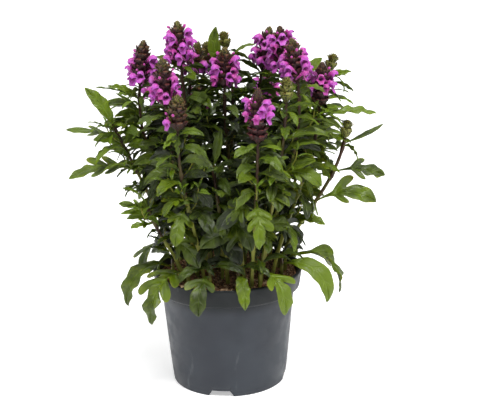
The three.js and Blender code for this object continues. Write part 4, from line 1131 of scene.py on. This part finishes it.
for index, (number, (_, rows, bloom)) in enumerate(FLOWERING.items()):
    node = "spike_" + number
    foot, tip = spike_axis(node)
    ways = spike_ways(foot, tip)
    length = np.linalg.norm(tip - foot)
    pitch = length / (rows + 0.5)
    ripeness = RIPENESS.get(number, RIPE)
    girth = 1 if bloom else GREEN_GIRTH

    # The core widens just above its foot, and from below its middle it rounds off to the tip.
    share = np.linspace(0, 1, 10)
    dome = np.sqrt(1 - 0.95 * np.clip((share - 0.45) / 0.55, 0, 1) ** 2.4)
    dome = dome * np.minimum(1, 0.35 + 6 * share)
    core = turned(np.stack([CORE_RADIUS * girth * dome, share * length * 0.95], axis=-1), 10)
    ends = on_axis(-0.5, length * 0.97)
    bodies = [tubes(foot + core @ ways, foot + ends @ ways, ripe=ripeness, edge=0.1)]

    # Calyces and bracts take turns round each row, and from one row to the next. Up the spike they are
    # less ripe, and its face draws in.
    row, place = (grid.ravel() for grid in np.mgrid[1:rows + 1, :2 * CALYCES])
    high = row / rows
    basis = round_spike(ways, np.pi * place / CALYCES)
    pitches, yaws = draw.normal(0, PITCH_STRAY, len(row)), draw.normal(0, YAW_STRAY, len(row))
    tones = draw.random(len(row))
    ripening = np.clip(ripeness * (1.1 - 0.45 * high**2), 0, 1)
    spread_at = BODY_RADIUS * girth * np.sqrt(1 - (0.9 * high) ** 3.2)
    is_calyx = (row + place) % 2 == 1

    # Each calyx leans out from the core to the spike's outer face.
    here = is_calyx & (high <= CALYX_ROWS)
    inner = CORE_RADIUS * girth * CALYX_ROOT
    size = CALYX_LENGTH * (1 - SMALLER_UP * high[here])
    lean = np.arcsin(np.clip((spread_at[here] - inner - 0.1 * size) / size, 0, 0.8))
    bodies.append(clothe(
        calyx, foot, basis[here], inner, pitch * (row[here] + 0.6) - size * np.cos(lean), size,
        (pitches[here] - lean, yaws[here]), ripe=ripening[here], edge=calyx_edge, tone=tones[here]))

    # Each bract lies over the gap below two calyces.
    here = ~is_calyx & (high <= CALYX_ROWS)
    size = BRACT_LENGTH * (1 - SMALLER_UP * high[here])
    lean = BRACT_LEAN + LEAN_UP * high[here]
    bodies.append(clothe(
        bract, foot, basis[here], spread_at[here] * BRACT_ROOT, pitch * (row[here] - 0.55), size,
        (pitches[here] - lean, yaws[here]), ripe=ripening[here], edge=bract_edge, tone=tones[here]))

    # The closed cone: its scales follow the core over the tip.
    for ring, (at, size, lean) in enumerate(CONE):
        scales = round_spike(ways, even_turns(CONE_SCALES, 0.5 * (ring % 2)))
        away = CORE_RADIUS * girth * np.interp(at, share, dome) * SCALE_ROOT
        sizes = size * draw.uniform(*SCALE_SIZES, CONE_SCALES)
        wobble = draw.normal(0, SCALE_STRAY, (2, CONE_SCALES))
        fresh = ripeness * (1 - FRESH_TIPS.get(number, FRESH_TIP) * (at - 0.5) / 0.5)
        bodies.append(clothe(
            bract, foot, scales, away, length * at, sizes, (wobble[0] - lean, wobble[1]),
            ripe=fresh, edge=bract_edge, tone=draw.random(CONE_SCALES)))

    if bloom:
        shares = np.array([(stray(seed, 1) + 1) / 2 for seed in index * 31 + row * 7 + place])
        in_bloom = is_calyx & (row >= bloom[0]) & (row <= bloom[1])
        shed = np.isin(place, SHED_AT) & (row > bloom[1] - SHED_ROWS.get(number, 1))
        here = in_bloom & (place == SINGLE[number] if number in SINGLE else (shares > NO_FLORET) & ~shed)
        calyx_mouth = ROW_RADIUS * (1 - ROW_TAPER * high**2) + CALYX_REACH * (1 - CALYX_TAPER * high)
        sizes = np.where(shares > SMALL_FLORET, 1.0, SMALL_SIZE) * (FLORET_SIZE + FLORET_GROWTH * tones)
        turn = FLORET_RISE + pitches[here] * FLORET_STRAY[0], yaws[here] * FLORET_STRAY[1]
        bodies.append(clothe(
            floret, foot, basis[here], calyx_mouth[here] + MOUTH_GAP, pitch * (row[here] + 0.5),
            sizes[here], turn, 1, edge=floret_edge, throat=floret_throat_shade, tone=tones[here]))

        # Folded buds show in the calyces between and above the open florets.
        near = is_calyx & (row >= bloom[0]) & (row <= bloom[1] + 1) & (high <= CALYX_ROWS)
        here = near & ~here & (tones < BUD_SHARE)
        if here.any():
            size = np.interp(tones[here], (0, BUD_SHARE), BUD_SIZES)
            bodies.append(clothe(
                bud, foot, basis[here], spread_at[here] - BUD_INSET, pitch * (row[here] + 0.5), size,
                (pitches[here] - BUD_LEAN, yaws[here]), 1))
    piece = make_piece(node + "_bloom", bodies, [sepal_finish, petal_finish], crease=60)
    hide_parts(node)


# Studio
# The plant stands on a plain pale floor under large soft lights, seen from a little above. The floor glows
# everywhere with painted light of its own: less near the pot, where it lightens the shadows, and more
# further away, so that it fades to white.
CAMERA_PLACE = (0, -1.15, 0.517)
CAMERA_YAW, CAMERA_PITCH, CAMERA_ROLL = 1.3375, 14.967, -0.9
FOCAL_PIXELS, PICTURE_WIDTH, SENSOR = 1058, 500, 36
FLOOR_REACH = 15.0
LIGHTS_FACE = (0, 0, 0.22)
PALE_FLOOR, PALER_FLOOR, WHITE = (0.90, 0.90, 0.90), (0.92, 0.92, 0.92), (1, 1, 1, 1)

floor_paint_and_glow, tree, shader = new_finish(
    "floor", Roughness=0.9, Specular_IOR_Level=0.1, Emission_Color=WHITE)
tree.links.new(mixed(tree, mottled(tree, 3), PALE_FLOOR, PALER_FLOOR), shader.inputs["Base Color"])
place = add_node(tree, "TexCoord").outputs["Object"]
away = add_node(tree, "VectorMath", {0: place}, operation="LENGTH").outputs["Value"]
painted_glow = spread(tree, away, 0.3, 6, 0.45, 0.95)
tree.links.new(painted_glow, shader.inputs["Emission Strength"])
corners = np.array([(-1, -1, 0), (1, -1, 0), (1, 1, 0), (-1, 1, 0)]) * FLOOR_REACH
floor_mesh = bpy.data.meshes.new("floor")
floor_mesh.from_pydata(corners.tolist(), [], [(0, 1, 2, 3)])
floor_mesh.materials.append(floor_paint_and_glow)
floor = bpy.data.objects.new("floor", floor_mesh)
bpy.context.scene.collection.objects.link(floor)

yaw, pitch, roll = np.radians([CAMERA_YAW, CAMERA_PITCH, CAMERA_ROLL])
facing = Matrix.Rotation(-yaw, 4, "Z") @ Matrix.Rotation(np.pi / 2 - pitch, 4, "X")
facing = facing @ Matrix.Rotation(roll, 4, "Z")
lens = bpy.data.cameras.new("camera")
lens.sensor_width = SENSOR
lens.lens = FOCAL_PIXELS / PICTURE_WIDTH * SENSOR
lens.clip_end = 100
camera = bpy.data.objects.new("camera", lens)
camera.matrix_world = Matrix.Translation(CAMERA_PLACE) @ facing
bpy.context.scene.collection.objects.link(camera)
bpy.context.scene.camera = camera


def soft_light(name, place, size, watts):
    """A square area light that faces the middle of the plant."""
    light = bpy.data.lights.new(name, "AREA")
    light.size, light.energy = size, watts
    lamp = bpy.data.objects.new(name, light)
    lamp.location = place
    lamp.rotation_euler = (Vector(LIGHTS_FACE) - Vector(place)).to_track_quat("-Z", "Y").to_euler()
    bpy.context.scene.collection.objects.link(lamp)


soft_light("overhead", (0, 1.2, 3.6), 7.0, 165)
soft_light("key", (0.4, -1.3, 2.8), 0.9, 89)
soft_light("left", (-2, -0.6, 0.9), 1.4, 14)
soft_light("right", (2, -0.6, 0.9), 1.4, 11)
world = bpy.data.worlds.new("studio")
world.use_nodes = True
backdrop = world.node_tree.nodes["Background"]
backdrop.inputs["Color"].default_value, backdrop.inputs["Strength"].default_value = WHITE, 0.08
bpy.context.scene.world = world
bpy.context.scene.view_settings.view_transform = "Standard"
